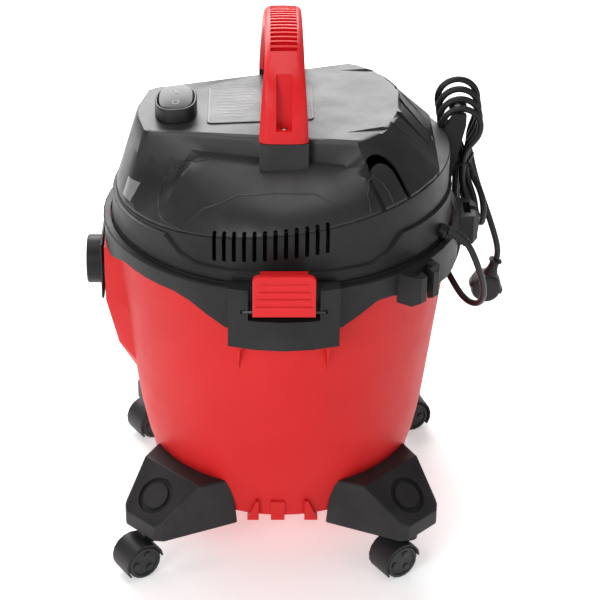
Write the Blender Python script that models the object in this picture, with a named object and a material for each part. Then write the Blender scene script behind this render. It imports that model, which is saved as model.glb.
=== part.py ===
"""Wet and dry shop vacuum: red drum on four casters, black collar with two latches, lift-off motor head."""
import math

import bpy
import bmesh
from mathutils import Matrix, Vector

# ---- driving dimensions, metres: floor at z = 0, drum axis at x = y = 0, inlet towards -X, cord towards +X ----
GAP = 0.0004  # clearance between touching pieces
FIT = 0.0006  # clearance around a pin or a shaft
ROUND = 48  # facets of the large round pieces
SMALL_ROUND = 18  # facets of the small round pieces
WELD = 0.00002  # points closer than this are merged
FLAT_ANGLE = 0.003  # faces meeting at less than this many radians are one face
RING_STEPS = 60  # sections around the collar and the head base
COVER_STEPS = 48  # sections around the head cover

DRUM_FLOOR_Z = 0.0695
DRUM_RIM_Z = 0.392
DRUM_R = 0.1962  # outer radius at the rim
DRUM_FOOT_R = DRUM_R - 0.0477
DRUM_SHOULDER_Z = DRUM_RIM_Z - 0.008
DRUM_WALL = 0.0032
DRUM_OUTER = (  # radius and height up the outside of the drum
    (DRUM_FOOT_R, DRUM_FLOOR_Z), (DRUM_FOOT_R + 0.0023, DRUM_FLOOR_Z + 0.0035),
    (DRUM_R - 0.0407, DRUM_FLOOR_Z + 0.0335), (DRUM_R - 0.0352, DRUM_FLOOR_Z + 0.0515),
    (DRUM_R - 0.0296, DRUM_FLOOR_Z + 0.0795), (DRUM_R - 0.0260, DRUM_FLOOR_Z + 0.1035),
    (DRUM_R - 0.0125, DRUM_RIM_Z - 0.108), (DRUM_R - 0.0007, DRUM_SHOULDER_Z), (DRUM_R, DRUM_RIM_Z),
)
COLLAR_R = DRUM_R + 0.0088
COLLAR_EDGE_Z = DRUM_RIM_Z + 0.0046
COLLAR_LIP_R = DRUM_R + 0.0010
COLLAR_LIP_Z = DRUM_RIM_Z + 0.0052
INLET_DROP = 0.0275  # how far the collar comes down over the inlet
COLLAR_DROP = (  # degrees from +X, how far the collar's lower edge lies below the rim
    (0, 0.042), (29, 0.042), (31, 0.036), (46, 0.032), (52, 0.021), (60, 0.021), (73, 0.0465),
    (107, 0.0465), (120, 0.021), (126, 0.015), (150, 0.013), (163, 0.027), (180, INLET_DROP),
)
BLOCK_TURNS = (-45.0, 0.0, 45.0)  # where the accessory blocks sit, degrees from +X
BLOCK_HALF = 0.0265
BLOCK_Z = (DRUM_RIM_Z - 0.0315, COLLAR_EDGE_Z - 0.0005)
TEE_HALF, TEE_DEEP = 0.0135, 0.0080  # wide part of a T slot
NECK_HALF, NECK_DEEP = 0.0055, 0.0085  # open neck of a T slot

LATCH_W = 0.0335  # half width of a latch
LATCH_OPEN_HALF = LATCH_W + 0.005
LATCH_HALF = LATCH_OPEN_HALF + 0.0215  # half width of a latch housing
HOUSING_Y = DRUM_R + 0.0203
HOUSING_Z = (DRUM_RIM_Z - 0.059, DRUM_RIM_Z + 0.0115)
HOUSING_BOW = 3.2  # curvature of the housing's front, per metre
WELL_Y = DRUM_R + 0.0083
LATCH_Z = (DRUM_RIM_Z - 0.0175, DRUM_RIM_Z + 0.0315)
LATCH_THICK = 0.005
LATCH_CORNER = 0.006
LATCH_RIBS, LATCH_RIB_PITCH = 4, 0.0088
LATCH_PIN_Y, LATCH_PIN_Z = DRUM_R + 0.0163, DRUM_RIM_Z - 0.0145
LATCH_PIN_R = 0.0022
KNUCKLE_R = 0.0045

INLET_R = 0.0283
INLET_BORE = INLET_R - 0.0033
INLET_TIP = DRUM_R + 0.0293
INLET_FLANGE = INLET_R + 0.0062
INLET_Z = DRUM_RIM_Z - INLET_DROP - 0.0010 - INLET_FLANGE
SPIGOT_R = INLET_BORE + 0.0026
GASKET = 0.0012
BOSS_X = DRUM_R + 0.0073

HEAD_RIM_R = DRUM_R - 0.0017
SKIRT_R = DRUM_R - 0.0030
BAND_R = DRUM_R - 0.0067
BASE_FLOOR = (DRUM_RIM_Z + 0.0065, DRUM_RIM_Z + 0.0105)
SKIRT_FOOT_Z = (DRUM_RIM_Z + 0.0145, DRUM_RIM_Z + 0.0165)
LEDGE_Z = DRUM_RIM_Z + 0.0197
SKIRT_HIGH_Z = DRUM_RIM_Z + 0.045
SEAM_Z = DRUM_RIM_Z + 0.0635
SEAM_SLOPE = 0.12
DECK_Z = DRUM_RIM_Z + 0.134
DECK_SLOPE = 0.045
SHELL = 0.003
DECK_OUTLINE = (  # half outline of the top deck, from the inlet end to the cord end
    (-0.161, 0.000), (-0.160, 0.018), (-0.1515, 0.055), (-0.144, 0.061), (0.078, 0.110), (0.086, 0.105),
    (0.105, 0.087), (0.120, 0.061), (0.130, 0.035), (0.132, 0.000),
)
DECK_LOOP = list(DECK_OUTLINE) + [(x, -y) for x, y in DECK_OUTLINE[-2:0:-1]]
SHELF_Z = DRUM_RIM_Z + 0.111
BELLY_FROM, BELLY_TO = 56.0, 139.0  # degrees from the cord end
BELLY = (  # how far out and how far up the recessed belly runs, from its foot to the shelf
    (0.90, 0.298), (0.74, 0.532), (0.55, 0.745), (0.34, 0.904), (0.16, 0.979), (0.0, 1.0),
)
COVER_FOOT_NEAR, COVER_FOOT_FAR = BAND_R - 0.0175, BAND_R - 0.0010
INNER_LEVELS = (10, 7, 3, 0)  # levels of the outer skin that the inner skin follows
ARCH_TURN = 50.0  # degrees from the cord end to each arch
CHANNELS = ((-0.066, 0.007), (-0.040, 0.010), (-0.004, 0.012), (0.034, 0.012), (0.062, 0.008))  # place, width
CHANNEL_DEEP = 0.0024
VENTS = 12
VENT_PITCH = 3.4
VENT_FIRST = 75.8
VENT_W = 0.0052
VENT_DROP, VENT_RISE = 0.026, 0.0045

HANDLE_FOOT_Z = DECK_Z + 0.0030
HANDLE_OUT_Y, HANDLE_IN_Y = 0.1170, 0.0885
HANDLE_ARC = (  # outside of one half: distance from the middle, height over the foot, half width
    (0.000, 0.0990, 0.0205), (0.030, 0.0972, 0.0205), (0.056, 0.0915, 0.0206), (0.078, 0.0820, 0.0210),
    (0.096, 0.0695, 0.0222), (0.1080, 0.0510, 0.0238), (0.1145, 0.0290, 0.0252), (HANDLE_OUT_Y, 0.0, 0.0266),
)
HANDLE_IN = (  # inside of one half: distance from the middle, height over the foot
    (0.000, 0.0725), (0.026, 0.0710), (0.046, 0.0670), (0.062, 0.0605), (0.073, 0.0520), (0.081, 0.0390),
    (0.0865, 0.0210), (HANDLE_IN_Y, 0.0),
)
HANDLE_SECTION = (  # across the grip, and from its outside to its inside
    (-1.0, 0.18), (-0.86, 0.05), (-0.62, 0.0), (0.0, -0.015), (0.62, 0.0), (0.86, 0.05), (1.0, 0.18),
    (1.0, 0.80), (0.84, 0.96), (0.55, 1.0), (-0.55, 1.0), (-0.84, 0.96), (-1.0, 0.80),
)
HANDLE_CHANNEL = (  # the channel down each leg: distance from the middle, height over the foot
    (0.125, 0.0140), (0.1015, 0.0140), (0.0970, 0.0580), (0.125, 0.0760), (0.0935, 0.0710),
)
PEDESTAL_Z = DRUM_RIM_Z + 0.1065
GRIP_SLOTS, GRIP_PITCH = 17, 0.00814
SCREW_Y = HANDLE_OUT_Y - 0.0105
SCREW_R, SCREW_HEAD_R, SCREW_LONG = 0.0017, 0.0040, 0.022
SCREW_SEAT = 0.011  # height of the screw's seat over the handle's foot

SWITCH_AT = (-0.119, -0.012)
SWITCH_HALF = (0.0235, 0.0335)
BEZEL_RISE = 0.0165
BEZEL_WALL = 0.0028
ROCKER_LEAN = 0.16
LABEL_FROM, LABEL_TO, LABEL_HALF = -0.084, 0.034, 0.050
LABEL_THICK, LABEL_CORNER = 0.0008, 0.006

CORNERS = (  # corner, degrees from +X to its foot, degrees the caster is turned
    ("front_left", 225.0, 33.0), ("front_right", 315.0, 33.0), ("rear_left", 135.0, 33.0), ("rear_right", 45.0, 197.5),
)
FOOT_Z = 0.055
FOOT_U = (DRUM_FOOT_R - 0.0109, DRUM_FOOT_R + 0.0835)
FOOT_SLOPE = ((DRUM_FOOT_R + 0.0318, 0.117), (FOOT_U[1], 0.0754))
STEM_U = DRUM_FOOT_R + 0.06363
STEM_R = 0.0040
TRAIL = 0.021
WHEEL_R = 0.0210
WHEEL_SIDES = 18
AXLE_HEIGHT = WHEEL_R * math.cos(math.pi / WHEEL_SIDES)  # the tread rests on one of its flats
AXLE_R = 0.0042
WHEEL_HALF = 0.0175
HOOD_R = WHEEL_R + 0.0035
WEB_HALF = 0.0028

FAN_Z = (DRUM_RIM_Z - 0.020, DRUM_RIM_Z + 0.010)
FAN_CASE_R = 0.0735
FAN_R = 0.060
FAN_EYE_R = 0.022
SHAFT_R = 0.0040
SHAFT_FOOT_Z = DRUM_RIM_Z - 0.0135
MOTOR_R = 0.046
MOTOR_PLATE_R = 0.083
MOTOR_TALL = 0.066
MOTOR_SEAL = 0.003
IMPELLER_Z = (DRUM_RIM_Z - 0.0115, DRUM_RIM_Z + 0.0025)
IMPELLER_BACK = 0.0025
CAGE_Z = (DRUM_RIM_Z - 0.092, FAN_Z[0] - GAP)
CAGE_R = 0.0475
CAGE_PLATE = 0.003
FLOAT_R = 0.036
STUD_R = 0.0040
STUD_LOW_Z = DRUM_RIM_Z - 0.173
FILTER_Z = (DRUM_RIM_Z - 0.156, CAGE_Z[1])
FILTER_R = 0.0760
FILTER_BORE = CAGE_R + 0.0015
PLEATS, PLEAT_DEPTH = 12, 0.0075

CORD_R = 0.00375
GLAND_TURN, GLAND_Z, GLAND_FACE = -24.2, DRUM_RIM_Z + 0.0148, DRUM_R + 0.0063
HANK_Y = 0.0575
HANK_LOW = (math.sqrt(BAND_R ** 2 - HANK_Y ** 2) + 0.045634, HANK_Y, DRUM_RIM_Z - 0.0685)
HANK_LEAN = 7.37
HANK_THICK = 0.022
HANK_SIDE = (  # distance up the hank and its half width
    (0.0000, 0.0040), (0.0030, 0.0088), (0.0125, 0.0125), (0.0500, 0.0140), (0.0990, 0.0140), (0.1200, 0.0150),
    (0.1400, 0.0190), (0.1650, 0.0228), (0.1850, 0.0232), (0.1980, 0.0185), (0.2055, 0.0105), (0.2082, 0.0040),
)
HANK_MIDDLE = 0.104
EYE_UP = 0.168
EYE_HALF = (0.0092, 0.0165)
HOOK_Y = (0.0345, 0.0420)
FINGER_R = 0.0060
TIE_UP, TIE_HALF = 0.109, 0.0026
PLUG_AT = (DRUM_R + 0.0508, 0.0500, DRUM_RIM_Z - 0.126)
PLUG_LEAN = 16.0
PLUG_R = 0.0185
PLUG_NECK = 0.0375
PIN_R, PIN_AT, PIN_LONG = 0.0024, 0.0095, 0.0305
STRAIGHT = 0.005  # straight length of cord at each end
LEAD_ROUTE = (
    (0.1960, -0.0868, 0.4035), (0.2060, -0.0884, 0.3945), (0.2140, -0.0880, 0.3790), (0.2210, -0.0848, 0.3600),
    (0.2262, -0.0790, 0.3420), (0.2296, -0.0705, 0.3240), (0.2295, -0.0590, 0.3065), (0.2240, -0.0455, 0.2945),
    (0.2150, -0.0335, 0.2925), (0.2068, -0.0238, 0.2985), (0.1995, -0.0145, 0.3080), (0.1945, -0.0030, 0.3135),
    (0.1930, 0.0095, 0.3120), (0.1950, 0.0220, 0.3060), (0.1995, 0.0345, 0.3005), (0.2060, 0.0455, 0.2985),
    (0.2140, 0.0535, 0.3015), (0.2212, 0.0570, 0.3085),
)
TAIL_ROUTE = (
    (0.2325, 0.0600, 0.4200), (0.2354, 0.0600, 0.4020), (0.2392, 0.0585, 0.3800), (0.2452, 0.0550, 0.3600),
    (0.2512, 0.0522, 0.3430), (0.2562, 0.0505, 0.3270), (0.2588, 0.0500, 0.3150),
)

RED = (0.62, 0.035, 0.035)
BLACK = (0.035, 0.035, 0.036)
GREY = (0.09, 0.09, 0.092)
STEEL = (0.55, 0.56, 0.58)
RUBBER = (0.02, 0.02, 0.02)
WHITE = (0.8, 0.8, 0.76)
PLASTIC = (BLACK, 0.55)
DARK = (GREY, 0.55)
PAINT = (RED, 0.45)
TOOL = (BLACK, 0.5)
BRIGHT = (STEEL, 0.3, 1.0)
SOFT = (RUBBER, 0.8)
PALE = (WHITE, 0.5)
PAPER = (WHITE, 0.9)

TURN = math.tau

for stale in list(bpy.data.objects):
    bpy.data.objects.remove(stale)


def material(name, colour, roughness, metallic=0.0):
    """A plain Principled material."""
    made = bpy.data.materials.new(name)
    made.use_nodes = True
    shader = made.node_tree.nodes["Principled BSDF"]
    shader.inputs["Base Color"].default_value = (*colour, 1.0)
    shader.inputs["Roughness"].default_value = roughness
    shader.inputs["Metallic"].default_value = metallic
    return made


def finish(mesh, name, colour, roughness, metallic=0.0, smooth=35.0):
    """Turns a mesh into a named piece with its own material."""
    piece = bpy.data.objects.new(name, mesh)
    bpy.context.scene.collection.objects.link(piece)
    mesh.materials.clear()
    mesh.materials.append(material(name + "_material", colour, roughness, metallic))
    mesh.shade_smooth()
    mesh.set_sharp_from_angle(angle=math.radians(smooth))
    return piece


def stack(name, rings, look, loop=False, place=None):
    """One closed body through a run of rings, capped at both ends, or looped back on itself."""
    form = bmesh.new()
    rows = [[form.verts.new(point) for point in ring] for ring in rings]
    pairs = list(zip(rows, rows[1:] + ([rows[0]] if loop else [])))
    for near, far in pairs:
        for i in range(len(near)):
            j = (i + 1) % len(near)
            form.faces.new((near[i], near[j], far[j], far[i]))
    if not loop:
        form.faces.new(rows[0])
        form.faces.new(rows[-1])
    if place is not None:
        form.transform(place)
    bmesh.ops.recalc_face_normals(form, faces=form.faces)
    mesh = bpy.data.meshes.new(name)
    form.to_mesh(mesh)
    form.free()
    return finish(mesh, name, *look)


def circle(radius, z, count=SMALL_ROUND, centre=(0.0, 0.0)):
    """A level ring of points."""
    steps = [TURN * i / count for i in range(count)]
    return [(centre[0] + radius * math.cos(a), centre[1] + radius * math.sin(a), z) for a in steps]


def turned(name, profile, look, count=SMALL_ROUND, place=None):
    """A body turned about Z from radius and height pairs; both ends are flat caps."""
    return stack(name, [circle(r, z, count) for r, z in profile], look, place=place)


def hoop(name, profile, look, count=SMALL_ROUND, place=None):
    """A ring turned about Z from a closed outline of radius and height pairs."""
    rings = []
    for i in range(count):
        a = TURN * i / count
        rings.append([(r * math.cos(a), r * math.sin(a), z) for r, z in profile])
    return stack(name, rings, look, loop=True, place=place)


def block(name, x, y, z, look, bevel=0.0, place=None, segments=1):
    """A box between three pairs of limits, with its edges eased."""
    form = bmesh.new()
    bmesh.ops.create_cube(form, size=1.0)
    size = Matrix.Diagonal((x[1] - x[0], y[1] - y[0], z[1] - z[0], 1.0))
    middle = Matrix.Translation(((x[0] + x[1]) / 2, (y[0] + y[1]) / 2, (z[0] + z[1]) / 2))
    form.transform(middle @ size)
    if bevel:
        bmesh.ops.bevel(form, geom=form.edges[:], offset=bevel, segments=segments, affect="EDGES")
    if place is not None:
        form.transform(place)
    bmesh.ops.recalc_face_normals(form, faces=form.faces)
    mesh = bpy.data.meshes.new(name)
    form.to_mesh(mesh)
    form.free()
    return finish(mesh, name, *look)


def hull(name, points, look, bevel=0.0, place=None, segments=1):
    """The convex body around a set of points."""
    form = bmesh.new()
    for point in points:
        form.verts.new(point)
    bmesh.ops.convex_hull(form, input=form.verts[:])
    flat = math.radians(1.0)
    bmesh.ops.dissolve_limit(form, angle_limit=flat, verts=form.verts[:], edges=form.edges[:])
    if bevel:
        bmesh.ops.bevel(form, geom=form.edges[:], offset=bevel, segments=segments, affect="EDGES")
    if place is not None:
        form.transform(place)
    bmesh.ops.recalc_face_normals(form, faces=form.faces)
    mesh = bpy.data.meshes.new(name)
    form.to_mesh(mesh)
    form.free()
    return finish(mesh, name, *look)


def flatten(piece):
    """Splits every face into triangles, so that no face is bent."""
    form = bmesh.new()
    form.from_mesh(piece.data)
    bmesh.ops.triangulate(form, faces=form.faces[:])
    form.to_mesh(piece.data)
    form.free()


def apply_tool(piece, tool, operation):
    """Cuts a tool out of a piece, or joins it on, and removes the tool."""
    flatten(piece)
    flatten(tool)
    change = piece.modifiers.new("change", "BOOLEAN")
    change.operation = operation
    change.solver = "EXACT"
    change.object = tool
    bpy.context.view_layer.update()
    result = bpy.data.meshes.new_from_object(piece.evaluated_get(bpy.context.evaluated_depsgraph_get()))
    piece.modifiers.clear()
    keep = piece.data.materials[0]
    piece.data = result
    result.materials.clear()
    result.materials.append(keep)
    form = bmesh.new()
    form.from_mesh(result)
    bmesh.ops.remove_doubles(form, verts=form.verts[:], dist=WELD)
    bmesh.ops.dissolve_degenerate(form, edges=form.edges[:], dist=WELD)
    bmesh.ops.dissolve_limit(form, angle_limit=FLAT_ANGLE, verts=form.verts[:], edges=form.edges[:])
    slivers = [edge for edge in form.edges if edge.is_boundary]
    bmesh.ops.holes_fill(form, edges=slivers, sides=0)
    form.to_mesh(result)
    form.free()
    for face in result.polygons:
        face.material_index = 0
    bpy.data.objects.remove(tool)


def cut(piece, tool):
    """Takes a tool's shape out of a piece."""
    apply_tool(piece, tool, "DIFFERENCE")


def join(piece, tool):
    """Adds a tool's shape to a piece."""
    apply_tool(piece, tool, "UNION")


def pivot(piece, point):
    """Puts the origin of a moving piece on its joint axis."""
    piece.data.transform(Matrix.Translation(-Vector(point)))
    piece.location = point


def turn_z(degrees):
    """A turn about the vertical axis."""
    return Matrix.Rotation(math.radians(degrees), 4, "Z")


def along_x(x, y, z):
    """Stands a turned shape along +X from this point."""
    return Matrix.Translation((x, y, z)) @ Matrix.Rotation(math.radians(90), 4, "Y")


def drum_radius(z):
    """Radius of the drum's outer wall at a height."""
    for (r0, z0), (r1, z1) in zip(DRUM_OUTER, DRUM_OUTER[1:]):
        if z <= z1:
            return r0 + (r1 - r0) * max(z - z0, 0.0) / (z1 - z0)
    return DRUM_OUTER[-1][0]


def between(table, value):
    """Straight-line reading of a table of value and result pairs."""
    for (a, x), (b, y) in zip(table, table[1:]):
        if value <= b:
            return x + (y - x) * (value - a) / (b - a)
    return table[-1][1]


def from_front(a):
    """Degrees from +X, folded so that front and rear read the same."""
    return abs((math.degrees(a) + 180.0) % 360.0 - 180.0)


# ---- drum ----
def on_wall(z, out):
    """The drum's outer radius at a height, plus so much."""
    return drum_radius(z) + out


def make_fairing():
    """The swelling that carries the inlet: a flat face that fades into the wall below."""
    top = (INLET_Z - INLET_FLANGE, INLET_Z + INLET_FLANGE)
    half = INLET_FLANGE + 0.003
    deep = on_wall(INLET_Z, -0.012)
    points = [(-BOSS_X, side * half, z) for side in (-1, 1) for z in top]
    points += [(-deep, side * (half + 0.016), z) for side in (-1, 1) for z in top]
    for drop, out, y in ((0.095, 0.0129, 0.030), (0.114, -0.0053, 0.040), (0.139, -0.0023, 0.016)):
        z = INLET_Z - drop
        points += [(-on_wall(z, out), side * y, z) for side in (-1, 1)]
    points.append((-on_wall(INLET_Z - 0.145, -0.005), 0.0, INLET_Z - 0.145))
    fairing = hull("fairing", points, PAINT)
    core = [(r - DRUM_WALL / 2, z) for r, z in DRUM_OUTER]
    above = (core[-1][0], DRUM_RIM_Z + 0.02)
    cut(fairing, turned("core", core + [above], TOOL, ROUND))
    return fairing


def join_ribs(drum, side):
    """Two stubs with fins and a pad under a latch housing."""
    high, low = HOUSING_Z[0] - 0.0020, HOUSING_Z[0] - 0.0095
    wall = drum_radius(low + 0.0015)
    tip = HOUSING_Z[0] - 0.048
    for across in (-1, 1):
        stub = [(across * x, side * (wall + out), z) for x in (0.045, 0.053) for out in (0.012, -0.012)
                for z in (low, high)]
        fin = [(across * x, side * (wall + out), low + 0.0015) for x in (0.0468, 0.0508) for out in (0.007, -0.012)]
        fin.append((across * 0.0488, side * on_wall(tip, -0.006), tip))
        for points in (stub, fin):
            join(drum, hull("rib", points, PAINT))
    pad = [(across * 0.032, side * on_wall(low + 0.0035, out), z) for across in (-1, 1) for out in (0.0035, -0.008)
           for z in (low - 0.0020, high)]
    join(drum, hull("pad", pad, PAINT))


def join_strips(drum, side):
    """Three short ribs at the foot of the drum."""
    low_z, high_z = DRUM_FLOOR_Z - 0.0040, DRUM_FLOOR_Z + 0.0235
    strips = (((-0.0125, 0.0035), (-0.0125, 0.0035)), ((-0.040, -0.0265), (-0.030, -0.0265)),
              ((0.0265, 0.042), (0.0265, 0.031)))
    for low, high in strips:
        points = [(x, side * (DRUM_FOOT_R + out), low_z) for x in low for out in (-0.012, 0.0045)]
        points += [(x, side * on_wall(high_z, out), high_z) for x in high for out in (-0.012, 0.002)]
        join(drum, hull("strip", points, PAINT))


def make_drum():
    """The red tub: a tapered wall with a floor, the inlet fairing and its ribs."""
    inner = [(r - DRUM_WALL, z) for r, z in DRUM_OUTER[2::2]]
    bottom = (DRUM_FOOT_R - DRUM_WALL, DRUM_FLOOR_Z + 2 * DRUM_WALL)
    drum = turned("drum", list(DRUM_OUTER) + inner[::-1] + [bottom], PAINT, ROUND)
    join(drum, make_fairing())
    bore = [(SPIGOT_R + FIT, 0.0), (SPIGOT_R + FIT, 0.06)]
    cut(drum, turned("bore", bore, TOOL, SMALL_ROUND, along_x(-BOSS_X - 0.01, 0.0, INLET_Z)))
    for side in (-1, 1):
        join_ribs(drum, side)
        join_strips(drum, side)


# ---- collar ring with latch housings and accessory blocks ----
def collar_section(a):
    """The collar's cross-section in one direction: it hangs over the rim and down the wall."""
    low = DRUM_RIM_Z - between(COLLAR_DROP, from_front(a))
    top = DRUM_RIM_Z + GAP
    heights = (low, (low + DRUM_SHOULDER_Z) / 2, DRUM_SHOULDER_Z, top)
    inside = [(on_wall(z, GAP), z) for z in heights]
    outside = [(COLLAR_LIP_R, top), (COLLAR_LIP_R, COLLAR_LIP_Z), (COLLAR_R - 0.0015, COLLAR_LIP_Z),
               (COLLAR_R, COLLAR_EDGE_Z - 0.0006), (COLLAR_R, COLLAR_EDGE_Z - 0.0022),
               (COLLAR_R - 0.0012, COLLAR_EDGE_Z - 0.0034), (COLLAR_R - 0.0016, low)]
    return [(r * math.cos(a), r * math.sin(a), z) for r, z in inside + outside]


def accessory_block(degrees):
    """A T-slot block that holds a floor tool or a tube."""
    tip, back = INLET_TIP, COLLAR_R - 0.004
    body = [(back, side * BLOCK_HALF, z) for side in (-1, 1) for z in BLOCK_Z]
    body += [(tip - 0.006, side * (BLOCK_HALF - 0.004), z) for side in (-1, 1) for z in BLOCK_Z]
    nose_z = (BLOCK_Z[0] + 0.003, BLOCK_Z[1] - 0.0025)
    body += [(tip, side * (BLOCK_HALF - 0.012), z) for side in (-1, 1) for z in nose_z]
    holder = hull("block", body, PLASTIC)
    tall = (BLOCK_Z[0] - 0.01, BLOCK_Z[1] + 0.01)
    tee = (tip - NECK_DEEP - TEE_DEEP, tip - NECK_DEEP)
    cut(holder, block("tee", tee, (-TEE_HALF, TEE_HALF), tall, TOOL))
    neck = (tip - NECK_DEEP - 0.0015, tip + 0.01)
    cut(holder, block("neck", neck, (-NECK_HALF, NECK_HALF), tall, TOOL))
    holder.data.transform(turn_z(degrees))
    return holder


def latch_housing(side):
    """The bowed box that a latch sits in, with its well and its sloped cheeks."""
    points = []
    for x in (-LATCH_HALF, -LATCH_HALF / 2, 0.0, LATCH_HALF / 2, LATCH_HALF):
        bow = HOUSING_Y + 0.0035 - HOUSING_BOW * x * x
        back = math.sqrt(drum_radius(HOUSING_Z[0]) ** 2 - x * x) + 0.0035
        points += [(x, side * bow, z) for z in HOUSING_Z]
        points += [(x, side * back, HOUSING_Z[0]), (x, side * (COLLAR_LIP_R - 0.004), HOUSING_Z[1])]
    housing = hull("housing", points, PLASTIC)
    past = HOUSING_Y + 0.02
    well = (LATCH_Z[0] - 0.0065, HOUSING_Z[1] + 0.02)
    deep = sorted((side * WELL_Y, side * past))
    cut(housing, block("well", (-LATCH_OPEN_HALF, LATCH_OPEN_HALF), deep, well, TOOL))
    over, under = HOUSING_Z[1] + 0.003, HOUSING_Z[1] - 0.016
    for across in (-1, 1):
        lean = [(across * x, side * y, z) for x in (LATCH_OPEN_HALF, LATCH_HALF) for y, z in
                ((HOUSING_Y - 0.0045, over), (past, over), (past, under), (HOUSING_Y + 0.0005, under))]
        cut(housing, hull("lean", lean, TOOL))
    core = [(r + 1.5 * GAP, z) for r, z in DRUM_OUTER[5:]]
    cut(housing, turned("core", core + [(core[-1][0], HOUSING_Z[1] + 0.0165)], TOOL, ROUND))
    return housing


def make_collar():
    """The black ring clamped on the drum's rim."""
    sections = [collar_section(TURN * i / RING_STEPS) for i in range(RING_STEPS)]
    collar = stack("collar", sections, PLASTIC, loop=True)
    hole = LATCH_OPEN_HALF + 0.008
    for side in (-1, 1):
        join(collar, latch_housing(side))
        bore = [(LATCH_PIN_R + GAP, 0.0), (LATCH_PIN_R + GAP, 2 * hole)]
        cut(collar, turned("hole", bore, TOOL, 12, along_x(-hole, side * LATCH_PIN_Y, LATCH_PIN_Z)))
    for degrees in BLOCK_TURNS:
        join(collar, accessory_block(degrees))


# ---- inlet ----
def make_inlet():
    """The hose inlet: a square flange with a nozzle outside and a spigot through the wall."""
    face = BOSS_X + 2 * GAP + GASKET
    plate_x = (-face - 0.003, -face)
    plate = block("inlet_port", plate_x, (-INLET_FLANGE, INLET_FLANGE),
                  (INLET_Z - INLET_FLANGE, INLET_Z + INLET_FLANGE), PLASTIC, 0.001)
    nozzle = [(INLET_R - 0.0014, 0.0), (INLET_R, 0.0016), (INLET_R, INLET_TIP - face - 0.001)]
    join(plate, turned("nozzle", nozzle, PLASTIC, 40, along_x(-INLET_TIP, 0.0, INLET_Z)))
    spigot = [(SPIGOT_R, 0.0), (SPIGOT_R, 0.036)]
    join(plate, turned("spigot", spigot, PLASTIC, 28, along_x(-face - 0.002, 0.0, INLET_Z)))
    bore = [(INLET_BORE, 0.0), (INLET_BORE, 0.08)]
    cut(plate, turned("bore", bore, TOOL, 28, along_x(-INLET_TIP - 0.01, 0.0, INLET_Z)))
    corner = INLET_FLANGE - 0.006
    for y in (-corner, corner):
        for z in (-corner, corner):
            hole = [(SCREW_R, 0.0), (SCREW_R, 0.02)]
            cut(plate, turned("hole", hole, TOOL, 12, along_x(-BOSS_X - 0.0075, y, INLET_Z + z)))


def make_inlet_elbow():
    """The deflector inside the drum that turns the incoming air down."""
    start = -BOSS_X - GAP + 0.0345
    low = INLET_Z - 0.032
    sleeve = [(SPIGOT_R + GAP, 0.0), (SPIGOT_R + 0.003, 0.0), (SPIGOT_R + 0.003, 0.010), (SPIGOT_R + GAP, 0.010)]
    hood = hoop("inlet_deflector", sleeve, PLASTIC, 28, along_x(start - 0.009, 0.0, INLET_Z))
    arc = [math.radians(degrees) for degrees in range(0, 181, 30)]
    outer = [(math.cos(a) * (SPIGOT_R + 0.0034), INLET_Z + math.sin(a) * (SPIGOT_R + 0.0034)) for a in arc]
    outer += [(-SPIGOT_R - 0.003, low), (SPIGOT_R + 0.003, low)]
    inner = [(math.cos(a) * (SPIGOT_R + 0.0006), INLET_Z + math.sin(a) * (SPIGOT_R + 0.0006)) for a in arc]
    inner += [(-SPIGOT_R, low - 0.018), (SPIGOT_R, low - 0.018)]
    cap = stack("cap", [[(x, y, z) for y, z in outer] for x in (start - 0.001, start + 0.034)], PLASTIC)
    cut(cap, stack("hollow", [[(x, y, z) for y, z in inner] for x in (start - 0.01, start + 0.031)], TOOL))
    join(hood, cap)


# ---- latches ----
def latch_plate(name, side):
    """The red plate of a latch, rounded at its two upper corners."""
    low, high = LATCH_Z
    outer_y = HOUSING_Y + 0.0035
    rings = []
    for y, inset in ((outer_y - LATCH_THICK, 0.0), (outer_y - 0.001, 0.0), (outer_y, 0.001)):
        ring = [(-LATCH_W + inset, low + inset), (LATCH_W - inset, low + inset)]
        for middle, start in ((LATCH_W - LATCH_CORNER, 0), (LATCH_CORNER - LATCH_W, 90)):
            for step in range(4):
                a = math.radians(start + 30 * step)
                r = LATCH_CORNER - inset
                ring.append((middle + r * math.cos(a), high - LATCH_CORNER + r * math.sin(a)))
        rings.append([(x, side * y, z) for x, z in ring])
    return stack(name, rings, PAINT)


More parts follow.
